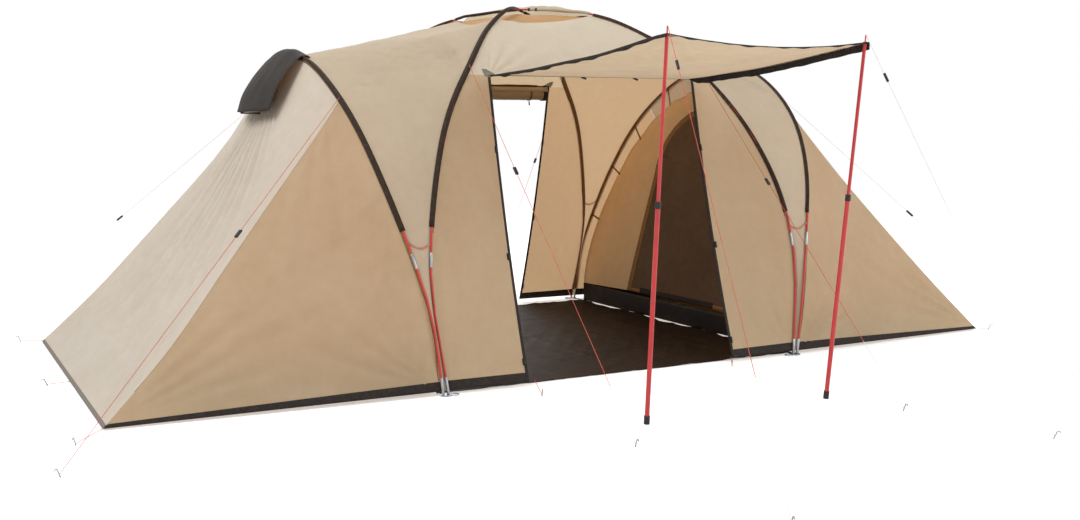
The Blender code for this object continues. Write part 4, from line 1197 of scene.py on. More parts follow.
@dataclass
class CrownCover:
    """The pale cover over the crown vent, held up by the crossing poles, and the net under it."""

    wrap_radius: float = 7.4 * MM
    clip_radius: float = 9.0 * MM
    clip_spots: tuple = (0.024, 0.052)
    net_turns: int = 96
    net_rings: int = 14
    net_middle: Point = (0.0, 0.0, 1.850)
    net_overlap: float = 1.03
    net_drop: float = 0.005

    def build(self) -> None:
        """Makes the cover with its wraps, and the net."""
        folds = (
            Fan((0, 0, 1.88), (0.3, 0.1, 1.8), 5, 1.4, 0.5, 3, seed=41),
            Ripples((0.4, 0.4, 0), 0.13, 2.0, seed=42),
        )
        Cut(
            "crown_vent_cover", Slot.VENT, Finish.COVER_CLOTH, (0.82, 0.62), 0.305, (0.1, 0.1, 1.2), folds
        ).make(lambda skin: self.wraps())
        self.net()

    def wraps(self) -> list:
        """Cloth wrapped round the poles between the sleeves' ends and the crossing, with two clips.

        Returns:
            The wraps and clips.
        """
        found = []
        for pole, x, y, place, finish in (
            ("upper", 1, -1, "front_right", Finish.COVER_CLOTH),
            ("upper", -1, 1, "rear_left", Finish.SLEEVE_TAPE),
            ("lower", 1, 1, "rear_right", Finish.SLEEVE_TAPE),
            ("lower", -1, -1, "front_left", Finish.SLEEVE_TAPE),
        ):
            end = min(abs(k) for k in np.array(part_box("diagonal_sleeve_" + place))[:, 0])
            spots = np.linspace(0.018, end - 0.002, 14)
            line = [pole_centre("diagonal_pole_" + pole, 0, x * s, x, y) for s in spots]
            found.append(self.wrap("crown_wrap_" + place, np.array(line), self.wrap_radius, finish))
        for k, s in enumerate(self.clip_spots, 1):
            line = [pole_centre("diagonal_pole_upper", 0, s + t, 1, -1) for t in (-0.004, 0.0, 0.004)]
            found.append(self.wrap(f"crown_clip_{k}", np.array(line), self.clip_radius, Finish.BLACK_PLASTIC))
        return found

    @staticmethod
    def wrap(name: str, line: np.ndarray, radius: float, finish: Finish) -> Piece:
        """A piece wrapped round a pole.

        Args:
            name: the piece's name.
            line: the middle line of the pole there.
            radius: of the wrap.
            finish: its finish.

        Returns:
            The finished piece.
        """
        way = unit(line[-1] - line[0])
        side = unit(np.cross(way, (0, 0, 1)))
        over = np.cross(side, way)
        turns = [TURN * k / 16 for k in range(16)]
        rows = [line + (side * math.cos(turn) + over * math.sin(turn)) * radius for turn in turns]
        return strip(name, rows, 0.9 * MM, finish, ring=True)

    def net(self) -> None:
        """The net that closes the vent under the poles, sewn below the edges of the roof round it."""
        names = ("front_panel", "rear_panel", "side_roof_left", "side_roof_right")
        roof = np.concatenate([Skin.read(bpy.data.objects[name + "_cloth"].data) for name in names])
        roof = roof[roof[:, 2] > 1.6]
        turns, middle = self.net_turns, np.array(self.net_middle)
        angles = np.arctan2(roof[:, 1], roof[:, 0])
        lips = []
        for k in range(turns):
            near = np.abs((angles - TURN * k / turns + math.pi) % TURN - math.pi) < 0.05
            lips.append(min(roof[near], key=lambda p: math.hypot(p[0], p[1])))
        lips = np.array(lips)
        for _ in range(3):
            lips = (np.roll(lips, 1, axis=0) + 2 * lips + np.roll(lips, -1, axis=0)) / 4
        out = lips * (self.net_overlap, self.net_overlap, 1) - (0, 0, self.net_drop)
        points = []
        for share in (0.02 + 0.98 * ring / self.net_rings for ring in range(self.net_rings + 1)):
            for lip in out:
                spot = middle + (lip - middle) * share
                points.append((spot[0], spot[1], middle[2] + (lip[2] - middle[2]) * share**2))
        faces = grid_faces(self.net_rings + 1, turns, columns_meet=True, flip=True) + [list(range(turns))]
        # The net's warm brown is painted shade, the shade under the cover.
        thing = new_piece("crown_vent_net", np.array(points), faces, Finish.VENT_NET)
        place_on(thing, "tent", Slot.NET)


@dataclass
class VentHoods:
    """Dark hoods over the end vents, each with a bound rim."""

    rim: Tape = Tape(0.012, Finish.HEM_TAPE)

    def build(self) -> None:
        """Makes the two hoods."""
        for side in Side:
            x, name = side.value, "vent_hood_" + side.word
            folds = (Ripples((x * 0.3, 0, -1), 0.11, 2.5, seed=51 + x),)
            Cut(
                name, Slot.VENT, Finish.HOOD_CLOTH, (0.66, 0.44), 0.252, (x * 1.3, 0, 1.2), folds,
                "hood_" + side.word, thickness=0.8 * MM,
            ).make(lambda skin: [self.rim.lay(name + "_rim", skin, p) for p in skin.edges(lambda p: p[2] < 1.35)[:1]])


@dataclass
class InnerTents:
    """The inner tents that hang in the bedrooms, their net doors and their tub floors."""

    zip_tape: Tape = Tape(0.02, Finish.BROWN_TAPE)
    door_edge: Tape = Tape(0.022, Finish.BROWN_TAPE)
    door_band: Tape = Tape(0.034, Finish.HEM_TAPE, thickness=1.4 * MM, rise=0.6 * MM, columns=4)
    tie_spots: tuple = (
        (1.1413, 1.1282, 0.5978), (1.2358, 1.0140, 0.9400), (1.3055, 0.8380, 1.2200), (1.3560, 0.5200, 1.4650),
    )

    def build(self) -> None:
        """Makes both inner tents, their doors and their floors."""
        for side in Side:
            x, name = side.value, f"inner_{side.word}_"
            inside = (x * 1.6, 0, 0.5)
            walls = (
                Ripples((0, 0, 1), 0.17, 6.0, seed=61 + x),
                Fan((x * 1.33, 0, 1.45), (x * 1.1, -0.6, 0.3), 7, 1.2, 1.5, 8, seed=62 + x),
            )
            Cut(
                name + "tent", Slot.INNER, Finish.INNER_CLOTH, (2.9, 2.6), 5.25, inside, walls, held="hung", fit=0
            ).make(lambda skin: self.zip_and_ties(side, skin))
            net = (Ripples((0, 0.1, 1), 0.2, 5.0, seed=71 + x), Ripples((0, 1, 0.2), 0.3, 3.0, seed=73 + x))
            Cut(
                name + "door", Slot.NET, Finish.NET_CLOTH, (1.07, 1.23), 1.12, inside, net,
                "inner_door_" + side.word, held="hung",
            ).make(lambda skin: self.door_tapes(name + "door", skin))
            Cut(
                name + "floor", Slot.FLOOR, Finish.TUB_CLOTH, (2.43, 1.47), 3.33, inside, held="laid",
                thickness=0.8 * MM, fit=0,
            ).make()

    def zip_and_ties(self, side: Side, skin: Skin) -> list:
        """The zip round the doorway, and the short straps that hang the tent from the seams over the arch.

        Args:
            side: left or right.
            skin: the inner tent's cloth.

        Returns:
            The tapes.
        """
        doorway = skin.edges(lambda p: abs(p[1]) < 0.54 and 0.125 < p[2] < 1.34)[:1]
        found = [self.zip_tape.lay(f"inner_{side.word}_door_zip", skin, path) for path in doorway]
        for k, (x, y, z) in enumerate(self.tie_spots, 1):
            for end in End:
                start = np.array((side.value * (x + 0.004), end.value * y, z))
                spot, normal, _, _ = skin.tree.find_nearest(Vector(start))
                aim = unit(np.array(spot) - start)
                across = unit(np.cross(aim, np.array(normal))) * 0.006
                line = spaced([start, np.array(spot) + aim * 0.02], 0.012)
                name = f"inner_{side.word}_tie_{end.word}_{k}"
                found.append(strip(name, [[p - across, p, p + across] for p in line], 1.2 * MM, Finish.BROWN_TAPE))
        return found

    def door_tapes(self, name: str, skin: Skin) -> list:
        """The zip round the net door, and the dark band along its foot.

        Args:
            name: the door's name.
            skin: the door's cloth.

        Returns:
            The tapes.
        """
        found = [self.door_edge.lay(name + "_edge", skin, path) for path in skin.edges(lambda p: True)[:1]]
        for foot in skin.edges(lambda p: p[2] < 0.14)[:1]:
            found.append(self.door_band.lay(name + "_band", skin, foot[np.abs(foot[:, 1]) < 0.49]))
        return found


@dataclass
class Awning:
    """The front door, propped out flat on two red poles."""

    centre_x: float = -0.022
    rear: Point = (0.565, -0.8009, 1.475)
    front: Point = (0.511, -2.224, 1.582)
    foot: Point = (0.485, -2.071, 0.0)
    hem: float = 0.013
    sag: float = 0.035
    side_sag: float = 0.018
    cells: int = 72
    carried: tuple = (("foot", 0.0020, 0.037, 0.0127), ("collar", 0.905, 0.9335, 0.0124))
    bore: float = 0.0103

    def spot(self, share: float, across: float) -> Point:
        """A point of the canopy, whose hem beyond the poles hangs on the line between the eyelets.

        Args:
            share: from 0 at the header to 1 at the poles.
            across: from -1 at the left pole to 1 at the right one.

        Returns:
            The point.
        """
        near = min(1.0, share)
        half = self.rear[0] + (self.front[0] - self.rear[0]) * near
        y = self.rear[1] + (self.front[1] - self.rear[1]) * share
        slope = (self.front[2] - self.rear[2]) / (self.front[1] - self.rear[1])
        sag = self.sag * max(0.0, 1 - across * across) * math.sin(math.pi * near / 2)
        sag += self.side_sag * math.sin(math.pi * near) * (0.3 + 0.7 * min(1.0, across * across))
        return (self.centre_x * near + across * half, y, self.rear[2] + slope * (y - self.rear[1]) - sag)

    def build(self) -> None:
        """Makes the canopy, its bindings and what the poles carry."""
        self.canopy()
        for side in Side:
            self.pole(side)

    def canopy(self) -> None:
        """The one sheet of the canopy, with folds from its corners."""
        n = self.cells
        last = 1 + self.hem / abs(self.front[1] - self.rear[1])
        wide = 1 + self.hem / self.front[0]
        steps = range(n + 1)
        points = np.array([[self.spot(last * j / n, wide * (2 * k / n - 1)) for k in steps] for j in steps])
        folds = (
            Fan((-0.533, -2.224, 1.58), (0.2, -1.1, 1.5), 6, 0.7, 1.2, 6, seed=81),
            Fan((0.489, -2.224, 1.58), (-0.2, -1.1, 1.5), 6, 0.7, 1.2, 6, seed=82),
            Fan((-0.565, -0.80, 1.475), (0.1, -1.6, 1.5), 5, 0.7, 0.9, 5, seed=83),
            Fan((0.565, -0.80, 1.475), (-0.1, -1.6, 1.5), 5, 0.7, 0.9, 5, seed=84),
            Ripples((0.1, 1, 0), 0.19, 3.0, seed=85),
        )
        up = np.array((0.0, 0.0, 1.0))
        rise = sum(fold.heights(points.reshape(-1, 3), up) for fold in folds).reshape(points.shape[:2])
        far = np.minimum(np.linspace(0, 1, n + 1) / 0.06, 1)[:, None]
        far = far * np.minimum(np.linspace(1, 0, n + 1) / 0.05 + 0.15, 1)[:, None]
        points[:, :, 2] += rise * far
        faces = grid_faces(n + 1, n + 1, flip=True)
        # The canopy's cloth is painted browner, as painted shade on its underside.
        thing = new_piece("front_door_canopy_cloth", points, faces, Finish.CANOPY_CLOTH)
        place_on(thing, "front_door", Slot.WALL, "front_door_canopy")
        trims = [
            self.trim("awning_binding_left", points[:, 0], points[:, 1], 0.022, -0.014, 81),
            # The right skirt is nearly black as painted shade, for the shade that it hangs in.
            self.trim("awning_skirt_right", points[:, -1], points[:, -2], 0.034, -0.030, 82),
            self.trim("awning_hem_front", points[-1], points[-2], 0.020, -0.004, 83),
        ]
        trims += [self.corner(side, points) for side in Side]

    @staticmethod
    def trim(name: str, outer: np.ndarray, inner: np.ndarray, width: float, fall: float, seed: int) -> Piece:
        """A binding along an edge of the canopy, part of which may hang down as a skirt.

        Args:
            name: the piece's name.
            outer: the edge's points.
            inner: the points beside them in the cloth.
            width: how far it reaches into the cloth.
            fall: how far down it hangs, as a negative height.
            seed: of its waves.

        Returns:
            The finished piece.
        """
        ways = inner - outer
        ways = ways / np.linalg.norm(ways, axis=1)[:, None]
        draw = np.random.default_rng(seed)
        reach = np.linspace(0, 1, len(outer))
        wave = sum(np.sin(reach * TURN * n + draw.uniform(0, 6)) for n in (4, 7, 11)) * 2.2 * MM
        lift = np.array((0.0, 0.0, 1.6 * MM))
        rows = []
        for k, (point, way) in enumerate(zip(outer, ways)):
            grown = min(1.0, k / 5)
            bulge = wave[k] * grown
            fallen = point - way * (1.5 * MM + bulge * (fall < -0.01)) + np.array((0, 0, fall * grown + bulge * 0.6))
            rows.append([point + way * width * 0.6 + lift, point + way * MM + lift, point - way * 2 * MM, fallen])
        return place_on(strip(name, rows[1:], 1.0 * MM, Finish.HEM_TAPE), "front_door", Slot.SLEEVE)

    def corner(self, side: Side, points: np.ndarray, size: int = 5) -> Piece:
        """A dark patch on a front corner, with the eyelet that the pole's spike stands in.

        Args:
            side: left or right.
            points: the canopy's grid.
            size: how many points of the grid it covers each way.

        Returns:
            The patch.
        """
        grid = points if side is Side.LEFT else points[:, ::-1]
        rows = []
        for j in range(size + 1):
            width = max(1, size - j)
            row = [grid[-1 - j][0] * (1 - t / size) + grid[-1 - j][width] * (t / size) for t in range(size + 1)]
            rows.append([p + np.array((0, 0, 1.5 * MM)) for p in row])
        patch = strip(f"awning_corner_{side.word}", rows, 0.8 * MM, Finish.HEM_TAPE)
        place_on(patch, "front_door", Slot.SLEEVE)
        bpy.ops.object.select_all(action="DESELECT")
        bpy.ops.mesh.primitive_torus_add(
            major_segments=28, minor_segments=8, major_radius=0.0068, minor_radius=0.0016,
            location=(self.centre_x + side.value * self.front[0], self.front[1], self.front[2] + 0.0022),
        )
        bpy.context.object.name = f"awning_eyelet_{side.word}"
        place_on(settle(bpy.context.object, Finish.DARK_METAL), "front_door", Slot.PIN)
        return patch

    def pole(self, side: Side) -> None:
        """What an awning pole carries: its black foot and its collar.

        Args:
            side: left or right.
        """
        foot, top = (Vector((self.centre_x + side.value * x, y, z)) for x, y, z in (self.foot, self.front))
        way = (top - foot).normalized()
        for name, start, end, radius in self.carried:
            ends = (foot + way * start, foot + way * end)
            thing = ferrule(f"awning_{name}_{side.word}", *ends, radius, self.bore, Finish.BLACK_PLASTIC)
            place_on(thing, "awning_lower_" + side.word, Slot.PLASTIC)


@dataclass
class RolledDoor:
    """The rear door, rolled up tightly under its header and tied near both ends."""

    half: float = 0.588
    y: float = 0.80
    z: float = 1.431
    radius: float = 0.0405
    core: float = 0.006
    gap: float = 0.0038
    ties: tuple[float, float] = (-0.46, 0.46)
    columns: int = 60
    steps_a_turn: int = 26
    tie_off: float = 0.0035

    def build(self) -> None:
        """Makes the roll, its end band and its ties."""
        turns = (self.radius - self.core) / self.gap
        steps = int(turns * self.steps_a_turn)
        phases = np.random.default_rng(91).uniform(0, 6.28, 12)
        rows = []
        for k in range(self.columns + 1):
            share = k / self.columns
            x = -self.half + 2 * self.half * share
            waist = 1 - 0.10 * math.exp(-((share - 0.5) / 0.035) ** 2) - 0.05 * math.exp(-((share - 0.02) / 0.02) ** 2)
            row = []
            for j in range(steps + 1):
                turn = TURN * turns * j / steps
                radius = self.core + self.gap * turn / TURN
                swell = 1 + 0.05 * math.sin(3 * turn / turns + share * 9 + phases[0])
                small = 0.018 * math.sin(share * 47 + phases[1] + turn * 0.9)
                swell += small + 0.014 * math.sin(share * 83 + phases[2])
                out = radius * waist * min(swell, 1.045)
                sway = 0.004 * math.sin(turn * 1.7 + phases[3]) * (1 - radius / self.radius)
                row.append((x + sway, self.y + out * math.cos(turn), self.z + out * math.sin(turn)))
            rows.append(row)
        roll = strip("rear_door_roll_cloth", rows, 0.8 * MM, Finish.WALL_CLOTH)
        place_on(roll, "tent", Slot.WALL, "rear_door_roll")
        trims = [self.tie(f"rear_roll_tie_{k}", x, 0.014, Finish.BROWN_TAPE) for k, x in enumerate(self.ties, 1)]
        trims.append(self.top())
        for k, x in enumerate(self.ties, 1):
            low = Vector((x, self.y - 0.004, self.z - self.radius - 0.008))
            bar = spaced([low, low + Vector((0.004, 0, -0.026))], 0.004)
            bead = tube(f"rear_roll_toggle_{k}", bar, 4.0 * MM, Finish.BLACK_PLASTIC, 10)
            trims.append(place_on(bead, "tent", Slot.PLASTIC))
        trims.append(self.tie("rear_roll_end_band", self.half - 0.022, 0.03, Finish.HEM_TAPE))

    def top(self) -> Piece:
        """The door's top, which runs from its header into the roll.

        Returns:
            The top.
        """
        rows = []
        for k in range(25):
            x, sway = self.half * (-0.985 + 1.97 * k / 24), 0.0015 * math.sin(k * 1.3)
            places = ((-0.009, 0.0455), (sway - 0.030, 0.040), (sway - 0.0435, 0.014))
            rows.append([(x, self.y + y, self.z + z) for y, z in places])
        return place_on(strip("rear_door_top", rows, 0.8 * MM, Finish.WALL_CLOTH), "tent", Slot.WALL)

    def tie(self, name: str, x: float, width: float, finish: Finish) -> Piece:
        """A tape round the roll.

        Args:
            name: the piece's name.
            x: its middle.
            width: how wide it is.
            finish: its finish.

        Returns:
            The tape.
        """
        radius = self.radius + self.tie_off
        rows = [
            [
                (place, self.y + radius * math.cos(turn), self.z + radius * math.sin(turn))
                for place in (x - width / 2, x, x + width / 2)
            ]
            for turn in (TURN * k / 32 for k in range(32))
        ]
        return place_on(strip(name, rows, 0.9 * MM, finish, ring=True), "tent", Slot.SLEEVE)


@dataclass
class Groundsheet:
    """The living space's loose groundsheet, creased where it was folded away, tied to the feet by straps."""

    half_x: float = 1.053
    front: float = -1.150
    rear: float = 1.080
    columns: int = 110
    rows: int = 116
    lowest: float = 0.0013
    creases: tuple = ((-0.72, -0.35, 0.02, 0.38, 0.74), (-0.62, -0.05, 0.52))
    crease_height: float = 0.0045
    crease_width: float = 0.010
    wrinkles: int = 14
    strap_x: float = 1.027
    strap_y: float = 1.1725

    def build(self) -> None:
        """Makes the sheet and its four straps."""
        xs = np.linspace(-self.half_x, self.half_x, self.columns + 1)
        ys = np.linspace(self.front, self.rear, self.rows + 1)
        grid = np.stack(np.meshgrid(xs, ys), axis=-1).reshape(-1, 2)
        points = np.column_stack([grid, self.lowest + self.relief(grid)])
        # Between its straps the sheet's side edges lie loose and are pulled in unevenly.
        sign = np.sign(grid[:, 0])
        loose = 0.022 * (1 + np.sin(grid[:, 1] * 8.5 + 1.2 * sign)) + 0.008 * np.sin(grid[:, 1] * 31)
        corners = np.clip((grid[:, 1] - self.front) / 0.12, 0, 1) * np.clip((self.rear - grid[:, 1]) / 0.12, 0, 1)
        beside = np.clip((np.abs(grid[:, 0]) - 0.80) / 0.253, 0, 1) ** 2
        points[:, 0] -= sign * np.maximum(loose, 0) * corners * beside
        faces = grid_faces(self.rows + 1, self.columns + 1)
        sheet = new_piece("living_groundsheet_cloth", points, faces, Finish.FLOOR_CLOTH)
        thicken(sheet, 0.6 * MM, -1.0)
        place_on(sheet, "tent", Slot.FLOOR, "living_groundsheet")
        straps = [self.strap(side, end) for side in Side for end in End]

    def relief(self, grid: np.ndarray) -> np.ndarray:
        """How high the sheet's creases and wrinkles stand.

        Args:
            grid: rows of x and y.

        Returns:
            The heights.
        """
        z = np.zeros(len(grid))
        for spots, axis, count, shift in zip(self.creases, (0, 1), (5, 6), (9, 7)):
            for spot in spots:
                bend = 0.01 * np.sin(grid[:, 1 - axis] * count + spot * shift)
                z += self.crease_height * np.exp(-np.abs(grid[:, axis] - spot - bend) / self.crease_width)
        draw = np.random.default_rng(95)
        for _ in range(self.wrinkles):
            way, size, start = draw.uniform(0, 6.28), draw.uniform(0.10, 0.38), draw.uniform(0, 6.28)
            wave = np.sin((grid @ (math.cos(way), math.sin(way))) * TURN / size + start)
            gate = 0.5 + 0.5 * np.sin(grid @ (-math.sin(way), math.cos(way)) * 4 + start)
            z += np.maximum(0, wave) ** 3 * gate * draw.uniform(0.0006, 0.0022)
        return z

    def strap(self, side: Side, end: End) -> Piece:
        """A strap from the sheet's edge to the ring of a pole foot.

        Args:
            side: left or right.
            end: front or rear.

        Returns:
            The strap.
        """
        x, y = side.value * self.strap_x, end.value
        edge = self.front if end is End.FRONT else self.rear
        line = spaced([(x, edge - y * 0.03, 0.0026), (x, edge, 0.0026), (x, y * self.strap_y, 0.0018)], 0.01)
        rows = [[(p[0] - 0.010, p[1], p[2]), (p[0] + 0.010, p[1], p[2])] for p in line]
        strap = strip(f"groundsheet_strap_{end.word}_{side.word}", rows, 0.9 * MM, Finish.HEM_TAPE)
        return place_on(strap, "tent", Slot.SLEEVE)


@dataclass
class Frame:
    """The poles, pins, props and runners, which keep the frame's own shapes."""

    looks: tuple = (
        ("arch_pole", Finish.RED_FIBREGLASS),
        ("diagonal_pole", Finish.RED_FIBREGLASS),
        ("awning_pole", Finish.RED_POWDER),
        ("pin_and_ring", Finish.BARE_STEEL),
        ("vent_prop", Finish.BLACK_PLASTIC),
        ("runner", Finish.BLACK_PLASTIC),
    )

    def build(self) -> None:
        """Dresses the frame's own pieces."""
        for node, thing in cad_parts.items():
            for start, finish in self.looks:
                if node.startswith(start):
                    dress(thing, finish)
                    LOG.info("%s is dressed in %s", node, finish.value.name)


@dataclass
class Fittings:
    """Metal tubes on the poles, straps between their sleeves, red pegging loops, and the awning's runners."""

    tube_radii: tuple[float, float] = (0.0074, 0.0059)
    tubes: tuple = (("joint", 0.585, 0.652), ("tip", 0.0080, 0.085))
    strap_z: float = 0.70
    strap_sag: float = 0.030
    loops: tuple = (
        ("door_left", (-0.57, -1.203, 0.028), (-0.652, -1.431, 0.010)),
        ("door_right", (0.589, -1.203, 0.030), (0.527, -1.299, 0.010)),
        ("corner_left", (-2.500, -1.114, 0.012), (-2.637, -1.308, 0.010)),
        ("end_left", (-2.508, -0.117, 0.012), (-2.615, -0.117, 0.010)),
        ("rear_left", (-2.500, 1.114, 0.012), (-2.616, 1.184, 0.010)),
        ("corner_right", (2.500, -1.114, 0.012), (2.560, -1.163, 0.010)),
    )
    loop_radius: float = 1.4 * MM
    runner_shares: tuple[float, float] = (0.094, 0.111)

    def build(self) -> None:
        """Makes the fittings."""
        for side in Side:
            for end in End:
                self.foot(side, end)
        for name, start, peg in self.loops:
            ends = (f"pegging_loop_{name}", f"hem_peg_{name}", start, peg, spaced([start, peg], 0.02))
            TautLine(*ends, self.loop_radius, 8).build()
        for (name, start, peg, _), share in zip(GuyLines.awning, self.runner_shares):
            way = (Vector(peg) - Vector(start)).normalized()
            spot = Vector(start).lerp(Vector(peg), share)
            ends = (spot - way * 0.02, spot + way * 0.02)
            thing = ferrule(f"awning_runner_{name}", *ends, 0.0058, 0.0021, Finish.BLACK_PLASTIC)
            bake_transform(thing)
            LOG.info("%s follows its guy line", thing.name)

    def foot(self, side: Side, end: End) -> None:
        """The tubes that join two poles' rods, their tips, and the strap between the poles' sleeves.

        Args:
            side: left or right.
            end: front or rear.
        """
        x, y = side.value, end.value
        place = f"{end.word}_{side.word}"
        lies = "lower" if x == y else "upper"
        poles = (("arch", "arch_pole_" + side.word), ("diagonal", "diagonal_pole_" + lies))
        for kind, node in poles:
            for part, low, high in self.tubes:
                ends = [pole_centre(node, 2, z, x, y) for z in (low, high)]
                thing = ferrule(f"{kind}_{part}_{place}", *ends, *self.tube_radii, Finish.BARE_STEEL)
                place_on(thing, "tent", Slot.PIN)
        shift = Vector((-x * 0.004, -y * 0.008, 0))
        near, far = (pole_centre(node, 2, self.strap_z, x, y) + shift for _, node in poles)
        roof = bpy.data.objects[f"side_roof_{side.word}_cloth"]
        rows = []
        for share in (k / 16 for k in range(17)):
            spot = near.lerp(far, share) - Vector((0, 0, self.strap_sag * math.sin(math.pi * share)))
            row = []
            for rise in (-0.005, 0.0, 0.005):
                _, on, normal, _ = roof.closest_point_on_mesh(spot + Vector((0, 0, rise)))
                out = normal if normal.y * y > 0 else -normal
                row.append(on + out * (0.0035 + 0.006 * (abs(share - 0.5) > 0.45)))
            rows.append(row)
        place_on(strip(f"sleeve_strap_{place}", rows, 1.2 * MM, Finish.FADED_TAPE), "tent", Slot.SLEEVE)


# The camera, light and floor


@dataclass
class Studio:
    """A white studio: an endless floor, a broad light from above and the left, and the photograph's viewpoint."""

    spot: Point = (-3.1941, -6.1076, 1.2371)
    turn: float = -0.49604
    dip: float = 0.11384
    lens_mm: float = 39.703
    floor_half: float = 30.0
    floor_glow: float = 0.40
    world_light: float = 0.72
    aim: Point = (0, 0, 0.7)
    lamps: tuple = (
        ("key", (-7.0, -1.5, 7.0), 5.0, 390.0),
        ("fill", (5.5, -7.0, 3.5), 6.0, 280.0),
        ("back", (2.5, 6.5, 6.0), 6.0, 370.0),
    )

    def build(self) -> None:
        """Adds the camera, the world, the floor and the broad area lamps, which face the tent."""
        data = bpy.data.cameras.new("camera")
        data.sensor_width, data.lens = 36.0, self.lens_mm
        data.clip_end = 200.0
        camera = add_object("camera", data)
        camera.location = self.spot
        camera.rotation_euler = (math.pi / 2 - self.dip, 0, self.turn)
        bpy.context.scene.camera = camera
        bpy.context.scene.view_settings.view_transform = "Standard"
        self.world()
        self.floor()
        for name, spot, size, watts in self.lamps:
            light = bpy.data.lights.new(name, "AREA")
            light.size, light.energy = size, watts
            lamp = add_object(name, light)
            lamp.location = spot
            lamp.rotation_euler = (Vector(self.aim) - Vector(spot)).to_track_quat("-Z", "Y").to_euler()

    def world(self) -> None:
        """Adds an even white world, plain white where it is seen."""
        world = bpy.data.worlds.new("studio")
        bpy.context.scene.world = world
        world.use_nodes = True
        tree = world.node_tree
        tree.nodes.clear()
        path = add_node(tree, "LightPath").outputs
        rays = {0: path["Is Camera Ray"], 1: path["Is Transmission Ray"]}
        seen = add_node(tree, "Math", rays, operation="MAXIMUM")
        share = add_node(tree, "MapRange", {"Value": seen, "To Min": self.world_light, "To Max": 1.0})
        light = add_node(tree, "Background", {"Color": (1, 1, 1, 1), "Strength": share})
        add_node(tree, "OutputWorld", {"Surface": light})

    def floor(self) -> None:
        """Adds the pale floor, which runs out of view on all sides."""
        material, tree = blank_material("studio_floor")
        ray = add_node(tree, "LightPath").outputs["Is Camera Ray"]
        share = add_node(tree, "Math", {0: ray, 1: self.floor_glow}, operation="MULTIPLY")
        matt = {"Base Color": (0.86, 0.86, 0.86, 1), "Roughness": 0.9, "Specular IOR Level": 0.1}
        lit = {"Emission Color": (1, 1, 1, 1), "Emission Strength": share}
        add_node(tree, "OutputMaterial", {"Surface": add_node(tree, "BsdfPrincipled", {**matt, **lit})})
        mesh = bpy.data.meshes.new("floor")
        signs = ((-1, -1), (1, -1), (1, 1), (-1, 1))
        mesh.from_pydata([(x * self.floor_half, y * self.floor_half, -0.0005) for x, y in signs], [], [(0, 1, 2, 3)])
        mesh.materials.append(material)
        add_object("floor", mesh)


# Lines


@dataclass
class TautLine:
    """A thin taut line from the tent to its peg: a guy line or a pegging loop."""

    name: str
    peg_name: str
    start: Point
    peg: Point
    path: np.ndarray
    radius: float
    sides: int
    pale_from: float = math.inf
    stands_for: str = ""
    swings_with: str = ""
    runner: str = ""

    def build(self) -> None:
        """Makes the line, pale from a share of its length on, and its peg."""
        start, peg = Vector(self.start), Vector(self.peg)
        length = (peg - start).length
        rope = tube(self.name, self.path, self.radius, Finish.ROPE_RED, self.sides)
        pieces = [Peg(self.peg_name, self.peg, tuple((start - peg).normalized())).build()]
        if self.pale_from < math.inf:
            rope.data.materials.append(Finish.ROPE_PALE.material())
            way = (peg - start) / length
            for face in rope.data.polygons:
                face.material_index = int((face.center - start).dot(way) / length > self.pale_from)
        if self.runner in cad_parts:
            pieces.append(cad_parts[self.runner])
        if self.swings_with:
            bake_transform(rope)
        else:
            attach(rope, "tent")
        if self.stands_for:
            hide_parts(self.stands_for)
        LOG.info("%s is %.2f m long", rope.name, length)


@dataclass
class Peg:
    """A bent steel peg, seen from the ground up: a short shank and the hook that holds a line."""

    name: str
    spot: Point
    lean: Point
    radius: float = 0.0028
    height: float = 0.030
    bend: float = 0.007
    slant: float = 0.006

    def build(self) -> Piece:
        """Makes the peg.

        Returns:
            The new piece, riding on the tent.
        """
        flat = Vector((self.lean[0], self.lean[1], 0)).normalized()
        ends = ((self.radius, self.slant), (self.height, -self.slant))
        foot, top = (Vector((*self.spot[:2], z)) + flat * out for z, out in ends)
        hook = [foot, foot.lerp(top, 0.5), top]
        for turn in (math.pi * k / 6 for k in range(1, 7)):
            hook.append(top - flat * self.bend * (1 - math.cos(turn)) + Vector((0, 0, self.bend * math.sin(turn))))
        return place_on(tube(self.name, np.array(hook), self.radius, Finish.BARE_STEEL), "tent", Slot.PIN)


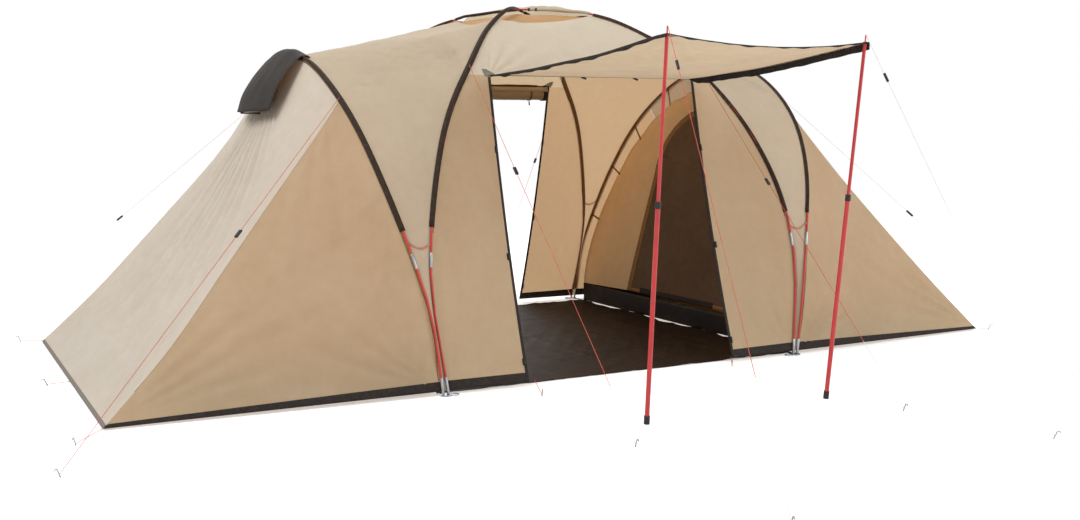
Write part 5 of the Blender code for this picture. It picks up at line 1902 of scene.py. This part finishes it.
@dataclass
class GuyLines:
    """The ten guy lines, where the frame has them: start, peg, and the share of the length from which each is pale."""

    radius: float = 0.0013
    parts: int = 24
    lines: tuple = (
        ("arch_front_left", (-1.34, -0.7085, 1.3602), (-2.743, -1.726, 0.012), 2.0),
        ("arch_front_right", (1.3398, -0.7087, 1.3602), (2.02, -2.21, 0.012), -1.0),
        ("arch_rear_left", (-1.34, 0.7085, 1.3602), (-2.743, 1.726, 0.012), -1.0),
        ("arch_rear_right", (1.3399, 0.7086, 1.3602), (2.4, 1.95, 0.012), 0.6),
        ("diagonal_front_left", (-0.6944, -0.7614, 1.5233), (-0.745, -2.357, 0.012), 0.855),
        ("diagonal_front_right", (0.6943, -0.7614, 1.5233), (0.591, -2.422, 0.012), 0.82),
        ("diagonal_rear_left", (-0.6944, 0.7614, 1.5233), (-0.76, 2.36, 0.012), 0.5),
        ("diagonal_rear_right", (0.6944, 0.7614, 1.5233), (0.937, 2.291, 0.012), 0.5),
    )
    awning: tuple = (
        ("left", (-0.5335, -2.2315, 1.6094), (-0.815, -3.345, 0.012), 0.75),
        ("right", (0.4896, -2.2315, 1.6093), (0.775, -3.041, 0.012), -1.0),
    )

    def build(self) -> None:
        """Makes every guy line."""
        for label, start, peg, pale in self.lines:
            self.line(label, start, peg, pale, "")
        for side, start, peg, pale in self.awning:
            self.line("awning_" + side, start, peg, pale, "awning_lower_" + side)

    def line(self, label: str, start: Point, peg: Point, pale: float, body: str) -> None:
        """Makes one guy line.

        Args:
            label: its name after guy_rope_.
            start: where it leaves the tent.
            peg: where its peg stands.
            pale: the share of its length from which it is pale.
            body: the awning pole's body that its upper end sits on, or none for a line that rides on the tent; a line
                with a body is left where it is.
        """
        name = "guy_rope_" + label
        path = spaced([Vector(start), Vector(peg)], (Vector(peg) - Vector(start)).length / self.parts)
        ends = (name + "_line", name + "_peg", start, peg, path)
        TautLine(*ends, self.radius, 6, pale, name, body, "runner_" + label).build()


def main() -> None:
    """Builds the studio and every piece of the tent."""
    logging.basicConfig(level=logging.INFO, format="%(name)s: %(message)s")
    for part in (
        Studio(), GuyLines(), Frame(), Flysheet(), Sleeves(), CrownCover(), VentHoods(), Awning(),
        RolledDoor(), Groundsheet(), InnerTents(), Fittings(),
    ):
        part.build()


if __name__ == "__main__":
    main()
